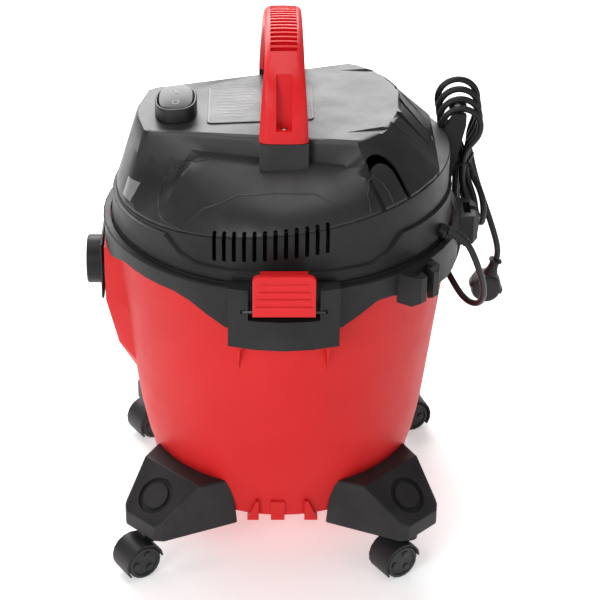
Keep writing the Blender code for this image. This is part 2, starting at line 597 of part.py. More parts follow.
def make_latch(tag, side):
    """A latch with grip ribs, a hooked lip and a knuckle, and the pin it swings on."""
    outer_y = HOUSING_Y + 0.0035
    inner_y = outer_y - LATCH_THICK
    high = LATCH_Z[1]
    latch = latch_plate("latch_" + tag, side)
    for k in range(LATCH_RIBS):
        z = LATCH_Z[0] + 0.0115 + LATCH_RIB_PITCH * k
        half = LATCH_W - 0.0035 - 0.0012 * k
        rib = [(across * half, side * (outer_y + out), z + dz) for across in (-1, 1)
               for out, dz in ((-0.001, -0.0028), (-0.001, 0.0028), (0.0013, -0.0012), (0.0013, 0.0012))]
        join(latch, hull("rib", rib, PAINT))
    half = LATCH_W - 0.002
    web_y = sorted((side * LATCH_PIN_Y, side * (inner_y + 0.001)))
    web_z = (LATCH_PIN_Z - 0.002, LATCH_PIN_Z + KNUCKLE_R)
    join(latch, block("web", (-half, half), web_y, web_z, PAINT))
    knuckle = [(KNUCKLE_R, 0.0), (KNUCKLE_R, 2 * half)]
    join(latch, turned("knuckle", knuckle, PAINT, 12, along_x(-half, side * LATCH_PIN_Y, LATCH_PIN_Z)))
    lip = [(across * (LATCH_W - 0.008), side * y, high - drop) for across in (-1, 1)
           for y, drop in ((inner_y + 0.001, 0.010), (inner_y + 0.001, 0.003),
                           (DRUM_R + 0.0023, 0.0045), (DRUM_R + 0.0023, 0.0085))]
    join(latch, hull("lip", lip, PAINT))
    bore = [(LATCH_PIN_R + GAP, 0.0), (LATCH_PIN_R + GAP, 0.1)]
    cut(latch, turned("hole", bore, TOOL, 12, along_x(-0.05, side * LATCH_PIN_Y, LATCH_PIN_Z)))
    pivot(latch, (0.0, side * LATCH_PIN_Y, LATCH_PIN_Z))
    half = LATCH_OPEN_HALF + 0.006
    pin = [(LATCH_PIN_R - GAP, 0.0), (LATCH_PIN_R, 0.0006), (LATCH_PIN_R, 2 * half - 0.0006),
           (LATCH_PIN_R - GAP, 2 * half)]
    turned("latch_pin_" + tag, pin, BRIGHT, 10, along_x(-half, side * LATCH_PIN_Y, LATCH_PIN_Z))


# ---- head base: floor, vent band and skirt ----
def seam_z(x):
    """Height of the seam between the head's base and its cover."""
    return SEAM_Z + SEAM_SLOPE * x


def skirt_top(a):
    """The skirt is low between the latches' sides and high over the ends."""
    turned_by = from_front(a + math.pi / 2)
    off_latch = min(turned_by, 180.0 - turned_by)
    edge = ((0.0, LEDGE_Z), (34.0, LEDGE_Z), (42.0, SKIRT_HIGH_Z), (90.0, SKIRT_HIGH_Z))
    want = between(edge, off_latch)
    return max(min(want, seam_z(BAND_R * math.cos(a)) - 0.006), LEDGE_Z)


def base_section(a):
    """The base's cross-section in one direction: floor, rim, skirt, band and top flange."""
    top = seam_z(BAND_R * math.cos(a))
    skirt = skirt_top(a)
    bore = FAN_CASE_R + 0.0005
    flange = COVER_FOOT_NEAR - 0.0045
    points = [
        (bore, BASE_FLOOR[0]), (HEAD_RIM_R - 0.001, BASE_FLOOR[0]), (HEAD_RIM_R, BASE_FLOOR[0] + 0.001),
        (HEAD_RIM_R, SKIRT_FOOT_Z[0]), (SKIRT_R, SKIRT_FOOT_Z[1]), (SKIRT_R, skirt - 0.0008),
        (SKIRT_R - 0.0008, skirt), (BAND_R, skirt + 0.001), (BAND_R, top - 0.001), (BAND_R - 0.001, top),
        (flange, top), (flange, top - SHELL), (BAND_R - SHELL, top - SHELL),
        (BAND_R - SHELL, BASE_FLOOR[1]), (bore, BASE_FLOOR[1]),
    ]
    return [(r * math.cos(a), r * math.sin(a), z) for r, z in points]


def make_base():
    """The head's lower shell, with the vent slots through its band."""
    base = stack("head_base", [base_section(TURN * i / RING_STEPS) for i in range(RING_STEPS)], PLASTIC, loop=True)
    make_vents(base)


# ---- head cover ----
def deck_z(x):
    """Height of the sloping deck."""
    return DECK_Z + DECK_SLOPE * x


def reach(outline, a):
    """Distance from the axis to an outline of straight sides, in one direction."""
    dx, dy = math.cos(a), math.sin(a)
    best = 0.0
    for (x0, y0), (x1, y1) in zip(outline, outline[1:] + outline[:1]):
        ex, ey = x1 - x0, y1 - y0
        bottom = dx * ey - dy * ex
        if abs(bottom) < 1e-9:
            continue
        t = (x0 * ey - y0 * ex) / bottom
        s = (x0 * dy - y0 * dx) / bottom
        if t > 0.0 and -1e-9 <= s <= 1.0 + 1e-9:
            best = max(best, t)
    return best


def ease(value):
    """A smooth step from 0 to 1."""
    value = min(max(value, 0.0), 1.0)
    return value * value * (3.0 - 2.0 * value)


def foot_radius(a):
    """The cover's foot: full radius at front, rear and inlet end, set back at the cord end."""
    d = from_front(a)
    flat = COVER_FOOT_NEAR / max(math.cos(math.radians(min(d, 70.0))), 0.3)
    return min(flat, COVER_FOOT_FAR) if d < 60.0 else COVER_FOOT_FAR


def belly_weight(a):
    """1 inside the recessed belly, 0 outside it, with a quick change at its ends."""
    d = from_front(a)
    return ease((d - BELLY_FROM + 2.0) / 4.0) * ease((BELLY_TO + 2.0 - d) / 4.0)


def cover_levels(a, inset):
    """Points up the cover at one direction; inset moves them inward to make the inner skin."""
    c, s = math.cos(a), math.sin(a)
    deck_r = reach(DECK_LOOP, a)
    foot = foot_radius(a)
    wall = deck_r + 0.007
    w = belly_weight(a)
    foot_z = seam_z(BAND_R * c)
    top_z = deck_z(deck_r * c)
    d = from_front(a)
    hollow = 0.007 * ease((d - 137.0) / 4.0) * ease((163.0 - d) / 10.0)
    out = [(foot - inset, foot_z + GAP), (foot - inset, foot_z + GAP + 0.003)]
    for k, (share, rise) in enumerate(BELLY):
        flat = 1.0 - (k + 1) / (len(BELLY) + 1.0)
        r_plain = deck_r + 0.004 + (foot - deck_r - 0.004) * flat
        z_plain = top_z - 0.006 - (top_z - 0.006 - foot_z - 0.003) * flat
        r_plain -= hollow * math.sin(math.pi * flat)
        r_belly = wall + (foot - wall) * share
        z_belly = foot_z + 0.003 + (SHELF_Z - foot_z - 0.003) * rise
        r = r_plain + (r_belly - r_plain) * w
        z_mix = z_plain + (z_belly - z_plain) * w
        out.append((r - inset, z_mix - inset * 0.55 * w - inset * 0.3))
    out.append((deck_r + 0.0035 - inset, top_z - 0.0055 - inset))
    out.append((deck_r + 0.0010 - inset, top_z - 0.0015 - inset))
    out.append((deck_r - 0.0035 - inset, top_z - inset))
    return [(r * c, r * s, z) for r, z in out]


def cover_directions():
    """Even steps around the cover, moved to the deck's corners where they come close."""
    steps = [TURN * i / COVER_STEPS for i in range(COVER_STEPS)]
    corners = [math.atan2(y, x) % TURN for x, y in DECK_LOOP]
    kept = [a for a in steps if all(abs(a - b) > 0.045 for b in corners)]
    return sorted(kept + corners)


def make_vents(piece):
    """Twelve slots at the front, every second one at the rear."""
    half = VENT_W / 2
    round_end = [math.radians(degrees) for degrees in (-150, -90, -30, 30, 90, 150)]
    for side, every in ((-1, 1), (1, 2)):
        for k in range(0, VENTS, every):
            degrees = side * (VENT_FIRST + VENT_PITCH * k)
            seam = seam_z(BAND_R * math.cos(math.radians(degrees)))
            ends = (seam - VENT_DROP, seam + VENT_RISE)
            outline = [(half * math.cos(a), ends[a > 0] + half * math.sin(a)) for a in round_end]
            tool = stack("slot", [[(x, y, z) for y, z in outline] for x in (BAND_R - 0.012, BAND_R + 0.006)], TOOL)
            tool.data.transform(turn_z(degrees))
            cut(piece, tool)


def arch_outline(half, top, low, steps=8):
    """An upright arch: straight sides under a slightly tall half round."""
    points = [(-half, low), (half, low)]
    for k in range(steps + 1):
        a = math.pi * k / steps
        points.append((half * math.cos(a), top - half + half * 1.25 * math.sin(a)))
    return points


def arch_place(side):
    """Frame of the arch on the slanted corner: x across, y up the slope, z outward."""
    a = math.radians(side * ARCH_TURN)
    foot = foot_radius(a)
    deck_r = reach(DECK_LOOP, a)
    low = Vector((foot * math.cos(a), foot * math.sin(a), seam_z(foot * math.cos(a))))
    high = Vector((deck_r * math.cos(a), deck_r * math.sin(a), deck_z(deck_r * math.cos(a)) - 0.005))
    up = (high - low).normalized()
    across = Vector((-math.sin(a), math.cos(a), 0.0))
    frame = Matrix((across, up, across.cross(up))).transposed().to_4x4()
    return Matrix.Translation(low) @ frame


def join_pedestal(cover, side):
    """The block that a handle foot stands on, with its screw hole."""
    low, high = PEDESTAL_Z - 0.006, HANDLE_FOOT_Z - GAP
    near, far = HANDLE_IN_Y + 0.0055, HANDLE_OUT_Y - 0.0005
    wide = ((near, low), (near, high), (far, high), (far + 0.004, low - 0.002))
    nose = ((far + 0.0015, high), (far + 0.0075, low - 0.002))
    points = [(across * 0.0265, side * y, z) for across in (-1, 1) for y, z in wide]
    points += [(across * 0.015, side * y, z) for across in (-1, 1) for y, z in nose]
    join(cover, hull("post", points, DARK))
    hole = [(SCREW_R + GAP, 0.0), (SCREW_R + GAP, 0.03)]
    cut(cover, turned("screw", hole, TOOL, 12, Matrix.Translation((0.0, side * SCREW_Y, HANDLE_FOOT_Z - 0.014))))


def cut_arch(cover, side):
    """An arched groove on a slanted corner."""
    place = arch_place(side)
    rim = arch_outline(0.0215, 0.056, -0.02)
    core = arch_outline(0.0155, 0.046, -0.03)
    groove = stack("outer", [[(x, y, z) for x, y in rim] for z in (-0.0022, 0.01)], TOOL, place=place)
    cut(groove, stack("inner", [[(x, y, z) for x, y in core] for z in (-0.006, 0.02)], TOOL, place=place))
    cut(cover, groove)


def cut_channels(cover):
    """Shallow channels down the cord end of the cover."""
    end = DECK_OUTLINE[-1][0]
    high, low = deck_z(end) + 0.002, seam_z(COVER_FOOT_NEAR) + 0.009
    for y, wide in CHANNELS:
        a = math.atan2(y, end - 0.012)
        top = reach(DECK_LOOP, a) * math.cos(a)
        a = math.atan2(y, COVER_FOOT_NEAR - 0.007)
        foot = foot_radius(a) * math.cos(a)
        side_view = ((top - CHANNEL_DEEP - 0.002, high), (top + 0.02, high), (foot + 0.02, low),
                     (foot - CHANNEL_DEEP - 0.001, low))
        points = [(x, edge, z) for x, z in side_view for edge in (y - wide / 2, y + wide / 2)]
        cut(cover, hull("channel", points, TOOL))


def cut_notch(cover, side):
    """A wedge let into the deck's long edge near the cord end."""
    points = [(0.060, side * 0.088, deck_z(0.06) + 0.0005)]
    points += [(0.120, side * y, deck_z(0.12) + 0.004) for y in (0.070, 0.094)]
    points += [(0.114, side * y, deck_z(0.10) - 0.0022) for y in (0.074, 0.088)]
    points.append((0.128, side * 0.082, deck_z(0.12) - 0.0022))
    cut(cover, hull("notch", points, TOOL))


def make_cover():
    """The head's upper shell, open underneath, with pedestals, vents, arches, channels and notches."""
    directions = cover_directions()
    outer = [cover_levels(a, 0.0) for a in directions]
    inner = [cover_levels(a, SHELL) for a in directions]
    rings = [[column[k] for column in inner] for k in INNER_LEVELS]
    rings += [[column[k] for column in outer] for k in range(len(outer[0]))]
    cover = stack("head_cover", rings, DARK)
    for side in (-1, 1):
        join_pedestal(cover, side)
    make_vents(cover)
    for side in (-1, 1):
        cut_arch(cover, side)
    cut_channels(cover)
    for side in (-1, 1):
        cut_notch(cover, side)


# ---- handle ----
def handle_ring(outer, inner, half):
    """A rounded section across the grip between an outer and an inner point of the side view."""
    (y0, z0), (y1, z1) = outer, inner
    return [(x * half, y0 + (y1 - y0) * t, z0 + (z1 - z0) * t) for x, t in HANDLE_SECTION]


def make_handle():
    """The arched grip with slots across its top, a channel down each leg and a screw hole in each foot."""
    rings = []
    for side, order in ((-1, -1), (1, 1)):
        half_rings = [handle_ring((side * y, HANDLE_FOOT_Z + up), (side * y_in, HANDLE_FOOT_Z + up_in), half)
                      for (y, up, half), (y_in, up_in) in zip(HANDLE_ARC, HANDLE_IN)]
        rings += half_rings[::order][(side > 0):]
    handle = stack("handle", rings, PAINT)
    for k in range(GRIP_SLOTS):
        y = GRIP_PITCH * (k - (GRIP_SLOTS - 1) / 2)
        z = HANDLE_FOOT_Z + between([point[:2] for point in HANDLE_ARC], abs(y))
        place = Matrix.Translation((0.0, y, z)) @ Matrix.Rotation(-y * 9.0, 4, "X")
        cut(handle, block("slot", (-0.0145, 0.0145), (-0.0029, 0.0029), (-0.0045, 0.01), TOOL, place=place))
    for side in (-1, 1):
        channel = [(across * 0.0085, side * y, HANDLE_FOOT_Z + up) for across in (-1, 1) for y, up in HANDLE_CHANNEL]
        cut(handle, hull("channel", channel, TOOL))
        stem, head = SCREW_R + GAP, SCREW_HEAD_R + FIT
        seat = SCREW_SEAT + 0.01
        hole = [(stem, 0.0), (stem, seat), (head, seat + 0.000001), (head, 0.06)]
        cut(handle, turned("hole", hole, TOOL, 16, Matrix.Translation((0.0, side * SCREW_Y, HANDLE_FOOT_Z - 0.01))))


def make_screw(name, at):
    """A pan-head screw, head up, with a cross slot; at is the underside of its head."""
    profile = [(0.0008, -SCREW_LONG), (SCREW_R, -SCREW_LONG + 0.002), (SCREW_R, 0.0), (SCREW_HEAD_R, 0.0),
               (SCREW_HEAD_R, 0.0014), (SCREW_HEAD_R * 0.6, 0.0026)]
    screw = turned(name, profile, BRIGHT, 16, Matrix.Translation(at))
    slot_z = (at[2] + 0.0012, at[2] + 0.004)
    for x, y in ((0.0026, 0.0005), (0.0005, 0.0026)):
        cut(screw, block("cross", (at[0] - x, at[0] + x), (at[1] - y, at[1] + y), slot_z, TOOL))


# ---- switch and label ----
def oval(half_x, half_y, z, centre, count=24, power=2.6):
    """A level ring between an ellipse and a rectangle."""
    ring = []
    for i in range(count):
        a = TURN * i / count
        c, s = math.cos(a), math.sin(a)
        ring.append((centre[0] + half_x * math.copysign(abs(c) ** (2 / power), c),
                     centre[1] + half_y * math.copysign(abs(s) ** (2 / power), s), z))
    return ring


def tilted(rings):
    """Leans level rings to lie along the sloping deck."""
    return [[(x, y, z + DECK_SLOPE * x) for x, y, z in ring] for ring in rings]


def make_switch():
    """The rocker switch and the bezel around it."""
    at, (half_x, half_y) = SWITCH_AT, SWITCH_HALF
    low, high = DECK_Z + GAP, DECK_Z + BEZEL_RISE
    shape = ((-BEZEL_WALL, low), (0.0, low), (0.0, high - 0.0015), (-0.001, high), (-BEZEL_WALL + 0.0005, high),
             (-BEZEL_WALL, high - 0.001))
    stack("switch_bezel", tilted([oval(half_x + out, half_y + out, z, at) for out, z in shape]), PLASTIC, loop=True)
    half_x -= BEZEL_WALL + 0.0008
    half_y -= BEZEL_WALL + 0.0035
    base = high - 0.0095
    rings = []
    for share, z in ((1.0, base), (1.0, base + 0.008), (0.93, base + 0.0100), (0.80, base + 0.0105)):
        ring = oval(half_x * share, half_y * share, z, at)
        rings.append([(x, y, up + ROCKER_LEAN * (y - at[1])) for x, y, up in ring])
    rocker = stack("switch_rocker", tilted(rings), DARK)
    pivot(rocker, (at[0], at[1], base + DECK_SLOPE * at[0]))


def make_label():
    """The thin plate on the deck, with rounded corners."""
    half = LABEL_HALF - LABEL_CORNER
    near, far = LABEL_FROM + LABEL_CORNER, LABEL_TO - LABEL_CORNER
    outline = []
    for x, y, start in ((far, half, 0), (near, half, 90), (near, -half, 180), (far, -half, 270)):
        for step in range(4):
            a = math.radians(start + 30 * step)
            outline.append((x + LABEL_CORNER * math.cos(a), y + LABEL_CORNER * math.sin(a)))
    low = DECK_Z + GAP
    stack("label_plate", tilted([[(x, y, z) for x, y in outline] for z in (low, low + LABEL_THICK)]), DARK)


# ---- feet and casters ----
def foot_master():
    """A foot that points along +X, cut to the drum's wall, with a ring groove on its slope."""
    (u0, z0), (u1, z1) = FOOT_SLOPE
    points = [(FOOT_U[0], side * 0.066, FOOT_Z) for side in (-1, 1)]
    for side in (-1, 1):
        points += [(FOOT_U[1], side * 0.024, z) for z in (FOOT_Z, z1)]
        points += [(FOOT_U[1] - 0.007, side * 0.033, z) for z in (FOOT_Z, z1 + 0.004)]
        points += [(u0, side * 0.046, z0), (DRUM_FOOT_R - 0.0085, side * 0.060, z0 - 0.0015)]
        points.append((DRUM_FOOT_R - 0.0085, side * 0.064, DRUM_FLOOR_Z + 0.0005))
    foot = hull("foot", points, PLASTIC, 0.0016)
    middle = Matrix.Translation(((u0 + u1) / 2 + 0.001, 0.0, (z0 + z1) / 2))
    place = middle @ Matrix.Rotation(math.atan2(z0 - z1, u1 - u0), 4, "Y")
    outline = [(0.0160, -0.0045), (0.0225, -0.0045), (0.0225, 0.02), (0.0160, 0.02)]
    cut(foot, hoop("groove", outline, TOOL, 28, place))
    core = [(DRUM_FOOT_R + GAP, DRUM_FLOOR_Z - GAP)] + [(r + GAP, z) for r, z in DRUM_OUTER[1:]]
    cut(foot, turned("core", core, TOOL, ROUND))
    hole = [(STEM_R + GAP, 0.0), (STEM_R + GAP, 0.024)]
    cut(foot, turned("hole", hole, TOOL, 16, Matrix.Translation((STEM_U, 0.0, FOOT_Z - 0.002))))
    return foot


def caster_master():
    """Caster about its swivel axis: the wheel trails towards -X, its axle runs along Y."""
    across = Matrix.Translation((-TRAIL, 0.0, AXLE_HEIGHT)) @ Matrix.Rotation(math.radians(90), 4, "X")
    arc = [math.radians(degrees) for degrees in range(5, 216, 21)]
    outline = [(HOOD_R * math.cos(a), HOOD_R * math.sin(a)) for a in arc]
    inner = WHEEL_R + 0.0010
    outline += [(inner * math.cos(a), inner * math.sin(a)) for a in arc[::-1]]
    rings = [[(x, y, z) for x, y in outline] for z in (-WHEEL_HALF, WHEEL_HALF)]
    hood = stack("hood", rings, PLASTIC, place=across)
    lobe = []
    for degrees in range(0, 360, 20):
        a = math.radians(degrees)
        r = HOOD_R - 0.001 if 5 <= degrees <= 210 else AXLE_R + 0.0043
        lobe.append((r * math.cos(a), r * math.sin(a)))
    join(hood, stack("web", [[(x, y, z) for x, y in lobe] for z in (-WEB_HALF, WEB_HALF)], PLASTIC, place=across))
    seat = FOOT_Z - GAP
    boss = [(0.0095, AXLE_HEIGHT + HOOD_R - 0.0052), (0.0095, seat), (STEM_R, seat), (STEM_R, FOOT_Z + 0.019)]
    join(hood, turned("boss", boss, PLASTIC, 20))
    cut(hood, turned("hole", [(AXLE_R + GAP, -0.02), (AXLE_R + GAP, 0.02)], TOOL, 24, across))
    return hood


def wheel_master():
    """Twin wheels on one axle, each hollowed on its outside."""
    near, far = WEB_HALF + 0.0007, WHEEL_HALF - GAP
    dish = far - 0.0016
    half = [(AXLE_R, 0.0), (AXLE_R, near), (WHEEL_R, near), (WHEEL_R, far - 0.0015), (WHEEL_R - 0.0015, far),
            (WHEEL_R - 0.0042, far), (WHEEL_R - 0.0050, dish), (AXLE_R + 0.0003, dish)]
    wheel = turned("wheel", [(r, -z) for r, z in half[::-1]] + half[1:], SOFT, WHEEL_SIDES)
    wheel.data.transform(Matrix.Rotation(math.radians(90), 4, "X"))
    return wheel


def make_corners():
    """A foot, a caster and its wheels at each corner."""
    masters = (foot_master(), caster_master(), wheel_master())
    for tag, degrees, caster_turn in CORNERS:
        a = math.radians(degrees)
        swivel = Matrix.Translation((STEM_U * math.cos(a), STEM_U * math.sin(a), 0.0)) @ turn_z(caster_turn)
        placings = (turn_z(degrees), swivel, swivel @ Matrix.Translation((-TRAIL, 0.0, AXLE_HEIGHT)))
        looks = (("foot_", PLASTIC), ("caster_", PLASTIC), ("wheel_", SOFT))
        for master, placing, (prefix, look) in zip(masters, placings, looks):
            mesh = master.data.copy()
            mesh.transform(placing)
            piece = finish(mesh, prefix + tag, *look)
            if prefix != "foot_":
                pivot(piece, placing.translation)
    for master in masters:
        bpy.data.objects.remove(master)


# ---- suction unit: motor, fan, float and filter ----
def make_motor():
    """The fan housing hung in the base, the seal and motor above it, and the spinning shaft."""
    wall, floor_z = 0.003, FAN_Z[0]
    lip = BASE_FLOOR[1] + GAP
    seal = lip + wall + GAP
    plate = seal + MOTOR_SEAL + GAP
    bore = SHAFT_R + FIT
    hoop("fan_housing", [(FAN_EYE_R, floor_z), (FAN_CASE_R - 0.0005, floor_z), (FAN_CASE_R - 0.0005, lip),
                         (MOTOR_PLATE_R + 0.001, lip), (MOTOR_PLATE_R + 0.001, lip + wall),
                         (FAN_CASE_R - 0.0035, lip + wall), (FAN_CASE_R - 0.0035, floor_z + wall),
                         (FAN_EYE_R, floor_z + wall)], PLASTIC, 24)
    hoop("motor_seal", [(0.062, seal), (MOTOR_PLATE_R, seal), (MOTOR_PLATE_R, seal + MOTOR_SEAL),
                        (0.062, seal + MOTOR_SEAL)], SOFT, 24)
    motor = hoop("motor_body", [(bore, plate), (MOTOR_PLATE_R, plate), (MOTOR_PLATE_R, plate + 0.003),
                                (MOTOR_R, plate + 0.004), (MOTOR_R, plate + MOTOR_TALL - 0.006),
                                (MOTOR_R - 0.004, plate + MOTOR_TALL), (0.018, plate + MOTOR_TALL),
                                (0.016, plate + MOTOR_TALL + 0.010), (bore, plate + MOTOR_TALL + 0.010)], BRIGHT, 24)
    for degrees in range(0, 360, 60):
        slot_z = (plate + 0.020, plate + 0.048)
        slot_x = (MOTOR_R - 0.006, MOTOR_R + 0.004)
        cut(motor, block("slot", slot_x, (-0.006, 0.006), slot_z, TOOL, place=turn_z(degrees)))
    top = plate + MOTOR_TALL + 0.015
    shaft = turned("rotor_shaft", [(SHAFT_R - 0.0006, SHAFT_FOOT_Z), (SHAFT_R, SHAFT_FOOT_Z + 0.001),
                                   (SHAFT_R, top - 0.001), (SHAFT_R - 0.0006, top)], BRIGHT, 20)
    for spun in (shaft, make_impeller()):
        pivot(spun, (0.0, 0.0, IMPELLER_Z[0] + 0.0095))


def make_impeller():
    """A fan wheel: a hub, a back plate and six swept blades."""
    low, back = IMPELLER_Z
    hub = SHAFT_R + GAP
    fan = hoop("impeller", [(hub, low), (0.011, low), (0.013, back), (FAN_R, back), (FAN_R, back + IMPELLER_BACK),
                            (hub, back + IMPELLER_BACK)], BRIGHT, 24)
    corners = ((-1, low + 0.001), (1, low + 0.001), (1, back + 0.001), (-1, back + 0.001))
    for degrees in range(0, 360, 60):
        blade = []
        for k, r in enumerate((0.0115, 0.026, 0.042, FAN_R - 0.0015)):
            a = math.radians(degrees + 11.0 * k)
            x, y = r * math.cos(a), r * math.sin(a)
            thick_x, thick_y = -0.0006 * math.sin(a), 0.0006 * math.cos(a)
            blade.append([(x + side * thick_x, y + side * thick_y, z) for side, z in corners])
        join(fan, stack("blade", blade, BRIGHT))
    return fan


def make_float_and_filter():
    """The float in its cage, the pleated filter over the cage and the knob that holds it."""
    low, high = CAGE_Z
    mouth = FAN_EYE_R + 0.0015
    plate = [(mouth, high - CAGE_PLATE), (CAGE_R, high - CAGE_PLATE), (CAGE_R, high), (mouth, high)]
    cage = hoop("float_cage", plate, PLASTIC, 24)
    floor = turned("floor", [(CAGE_R, low), (CAGE_R, low + CAGE_PLATE)], PLASTIC, 24)
    for degrees in range(0, 360, 60):
        post_x, post_z = (CAGE_R - 0.0080, CAGE_R - 0.0005), (low + 0.001, high - 0.001)
        join(floor, block("post", post_x, (-0.0022, 0.0022), post_z, PLASTIC, place=turn_z(degrees)))
    join(floor, turned("stud", [(STUD_R, STUD_LOW_Z), (STUD_R, low + 0.001)], PLASTIC, 16))
    join(cage, floor)
    base = low + CAGE_PLATE + GAP
    ball = turned("float", [(FLOAT_R - 0.016, base), (FLOAT_R - 0.004, base + 0.001), (FLOAT_R, base + 0.006),
                            (FLOAT_R, base + 0.030), (FLOAT_R - 0.006, base + 0.038),
                            (FLOAT_R - 0.022, base + 0.041)], PALE, 20)
    pivot(ball, (0.0, 0.0, base))
    foot, top = FILTER_Z
    bore = STUD_R + 0.0012
    sections = []
    for i in range(PLEATS * 2):
        a = math.pi * i / PLEATS
        pleat = FILTER_R - 0.0025 - (0.0 if i % 2 else PLEAT_DEPTH)
        outline = [(FILTER_BORE, top), (FILTER_R, top), (FILTER_R, top - 0.006), (pleat, top - 0.006),
                   (pleat, foot + 0.006), (FILTER_R, foot + 0.006), (FILTER_R, foot), (bore, foot),
                   (bore, foot + 0.004), (FILTER_BORE, foot + 0.004)]
        sections.append([(r * math.cos(a), r * math.sin(a), z) for r, z in outline])
    stack("filter_cartridge", sections, PAPER, loop=True)
    top = foot - GAP
    knob = turned("filter_knob", [(0.013, top - 0.022), (0.017, top - 0.019), (0.017, top - 0.004),
                                  (0.024, top - 0.002), (0.024, top)], PLASTIC, 24)
    cut(knob, turned("hole", [(STUD_R + GAP, top - 0.018), (STUD_R + GAP, top + 0.01)], TOOL, 16))


# ---- seal rings ----
def make_seals():
    """The ring between drum and head, and the gasket behind the inlet."""
    low, high = DRUM_RIM_Z + GAP, BASE_FLOOR[0] - GAP
    hoop("drum_seal", [(DRUM_R - 0.0028, low), (DRUM_R - 0.0004, low), (DRUM_R - 0.0012, high),
                       (DRUM_R - 0.0077, high)], SOFT, ROUND)
    inner, outer = SPIGOT_R + FIT, INLET_FLANGE - 0.001
    hoop("inlet_gasket", [(inner, 0.0), (outer, 0.0), (outer, GASKET), (inner, GASKET)], SOFT, 28,
         along_x(-BOSS_X - GAP - GASKET, 0.0, INLET_Z))


# ---- cord: gland, hook, hank, tie and plug ----
def head_side():
    """The outside of the head's band, with clearance, for pieces that seat against it."""
    rim, skirt, band = HEAD_RIM_R + GAP, SKIRT_R + GAP, BAND_R + GAP
    low, high = SKIRT_FOOT_Z
    profile = [(rim, BASE_FLOOR[0] - 0.0185), (rim, low + 0.0005), (skirt, high + 0.0005), (skirt, SKIRT_HIGH_Z + GAP),
               (band, SKIRT_HIGH_Z + 0.0015), (band, DECK_Z)]
    return turned("side", profile, TOOL, 120)


def make_gland():
    """The strain relief where the cord leaves the head."""
    out = Matrix.Translation((0.0, 0.0, GLAND_Z)) @ turn_z(GLAND_TURN) @ Matrix.Rotation(math.radians(90), 4, "Y")
    profile = [(0.0084, GLAND_FACE - 0.0175), (0.0084, GLAND_FACE - 0.0035), (0.0072, GLAND_FACE - 0.0022),
               (0.0060, GLAND_FACE)]
    gland = turned("cord_gland", profile, SOFT, 20, out)
    cut(gland, head_side())


def hank_place():
    """Frame of the tied hank: it leans out at the top."""
    return Matrix.Translation(HANK_LOW) @ Matrix.Rotation(math.radians(-HANK_LEAN), 4, "Y")


def make_hook():
    """The hook on the head that the hank hangs on."""
    eye = hank_place() @ Vector((0.0, 0.0, EYE_UP))
    inside, outside = DRUM_R - 0.0162, DRUM_R - 0.0002
    side_view = ((inside, LEDGE_Z), (outside, LEDGE_Z), (inside, SEAM_Z + 0.0145), (SKIRT_R + 0.0073, SEAM_Z - 0.0155),
                 (eye.x + 0.0065, eye.z - 0.007), (eye.x + 0.0065, eye.z + 0.006), (eye.x - 0.0085, eye.z + 0.006))
    hook = hull("cord_hook", [(x, y, z) for y in HOOK_Y for x, z in side_view], PLASTIC)
    cut(hook, head_side())
    long = eye.y + HANK_THICK / 2 + 0.0050 - HOOK_Y[0]
    finger = [(FINGER_R, 0.0), (FINGER_R, long - 0.001), (FINGER_R + 0.0045, long), (FINGER_R + 0.0045, long + 0.0025),
              (FINGER_R + 0.0035, long + 0.0035)]
    lay = Matrix.Translation((eye.x, HOOK_Y[0] + 0.0005, eye.z)) @ Matrix.Rotation(math.radians(-90), 4, "X")
    join(hook, turned("finger", finger, PLASTIC, 20, lay))


def make_hank():
    """The tied bundle of cord as one body, with an eye for the hook and a tie around it."""
    place = hank_place()
    half = HANK_THICK / 2
    sides = [(w, up) for up, w in HANK_SIDE] + [(-w, up) for up, w in HANK_SIDE[::-1]]
    rings = [[(x * share, y, (up - HANK_MIDDLE) * (1.0 - (1.0 - share) * 0.2) + HANK_MIDDLE) for x, up in sides]
             for share, y in ((0.72, -half), (1.0, -half + 0.005), (1.0, half - 0.005), (0.72, half))]
    hank = stack("cord_hank", rings, SOFT, place=place)
    steps = [TURN * i / 20 for i in range(20)]
    loop = [[(EYE_HALF[0] * math.cos(a), y, EYE_UP + EYE_HALF[1] * math.sin(a)) for a in steps] for y in (-0.03, 0.03)]
    cut(hank, stack("eye", loop, TOOL, place=place))
    wide = between(HANK_SIDE, TIE_UP + 0.004) + 2 * GAP
    low, high = TIE_UP - TIE_HALF, TIE_UP + TIE_HALF
    sections = []
    for across, along, order in ((1, 1, 1), (-1, 1, -1), (-1, -1, 1), (1, -1, -1)):
        corner = [((wide, half - 0.0045), 0.0012), ((0.76 * wide, half + GAP), 0.0011)][::order]
        for (x, y), thick in corner:
            outline = ((x, y, low), (x + thick, y + thick, low), (x + thick, y + thick, high), (x, y, high))
            sections.append([(across * px, along * py, pz) for px, py, pz in outline])
    stack("cord_tie", sections, SOFT, loop=True, place=place)


def plug_place():
    """Frame of the plug: its neck points up and leans with the cord."""
    return Matrix.Translation(PLUG_AT) @ Matrix.Rotation(math.radians(PLUG_LEAN), 4, "Y")


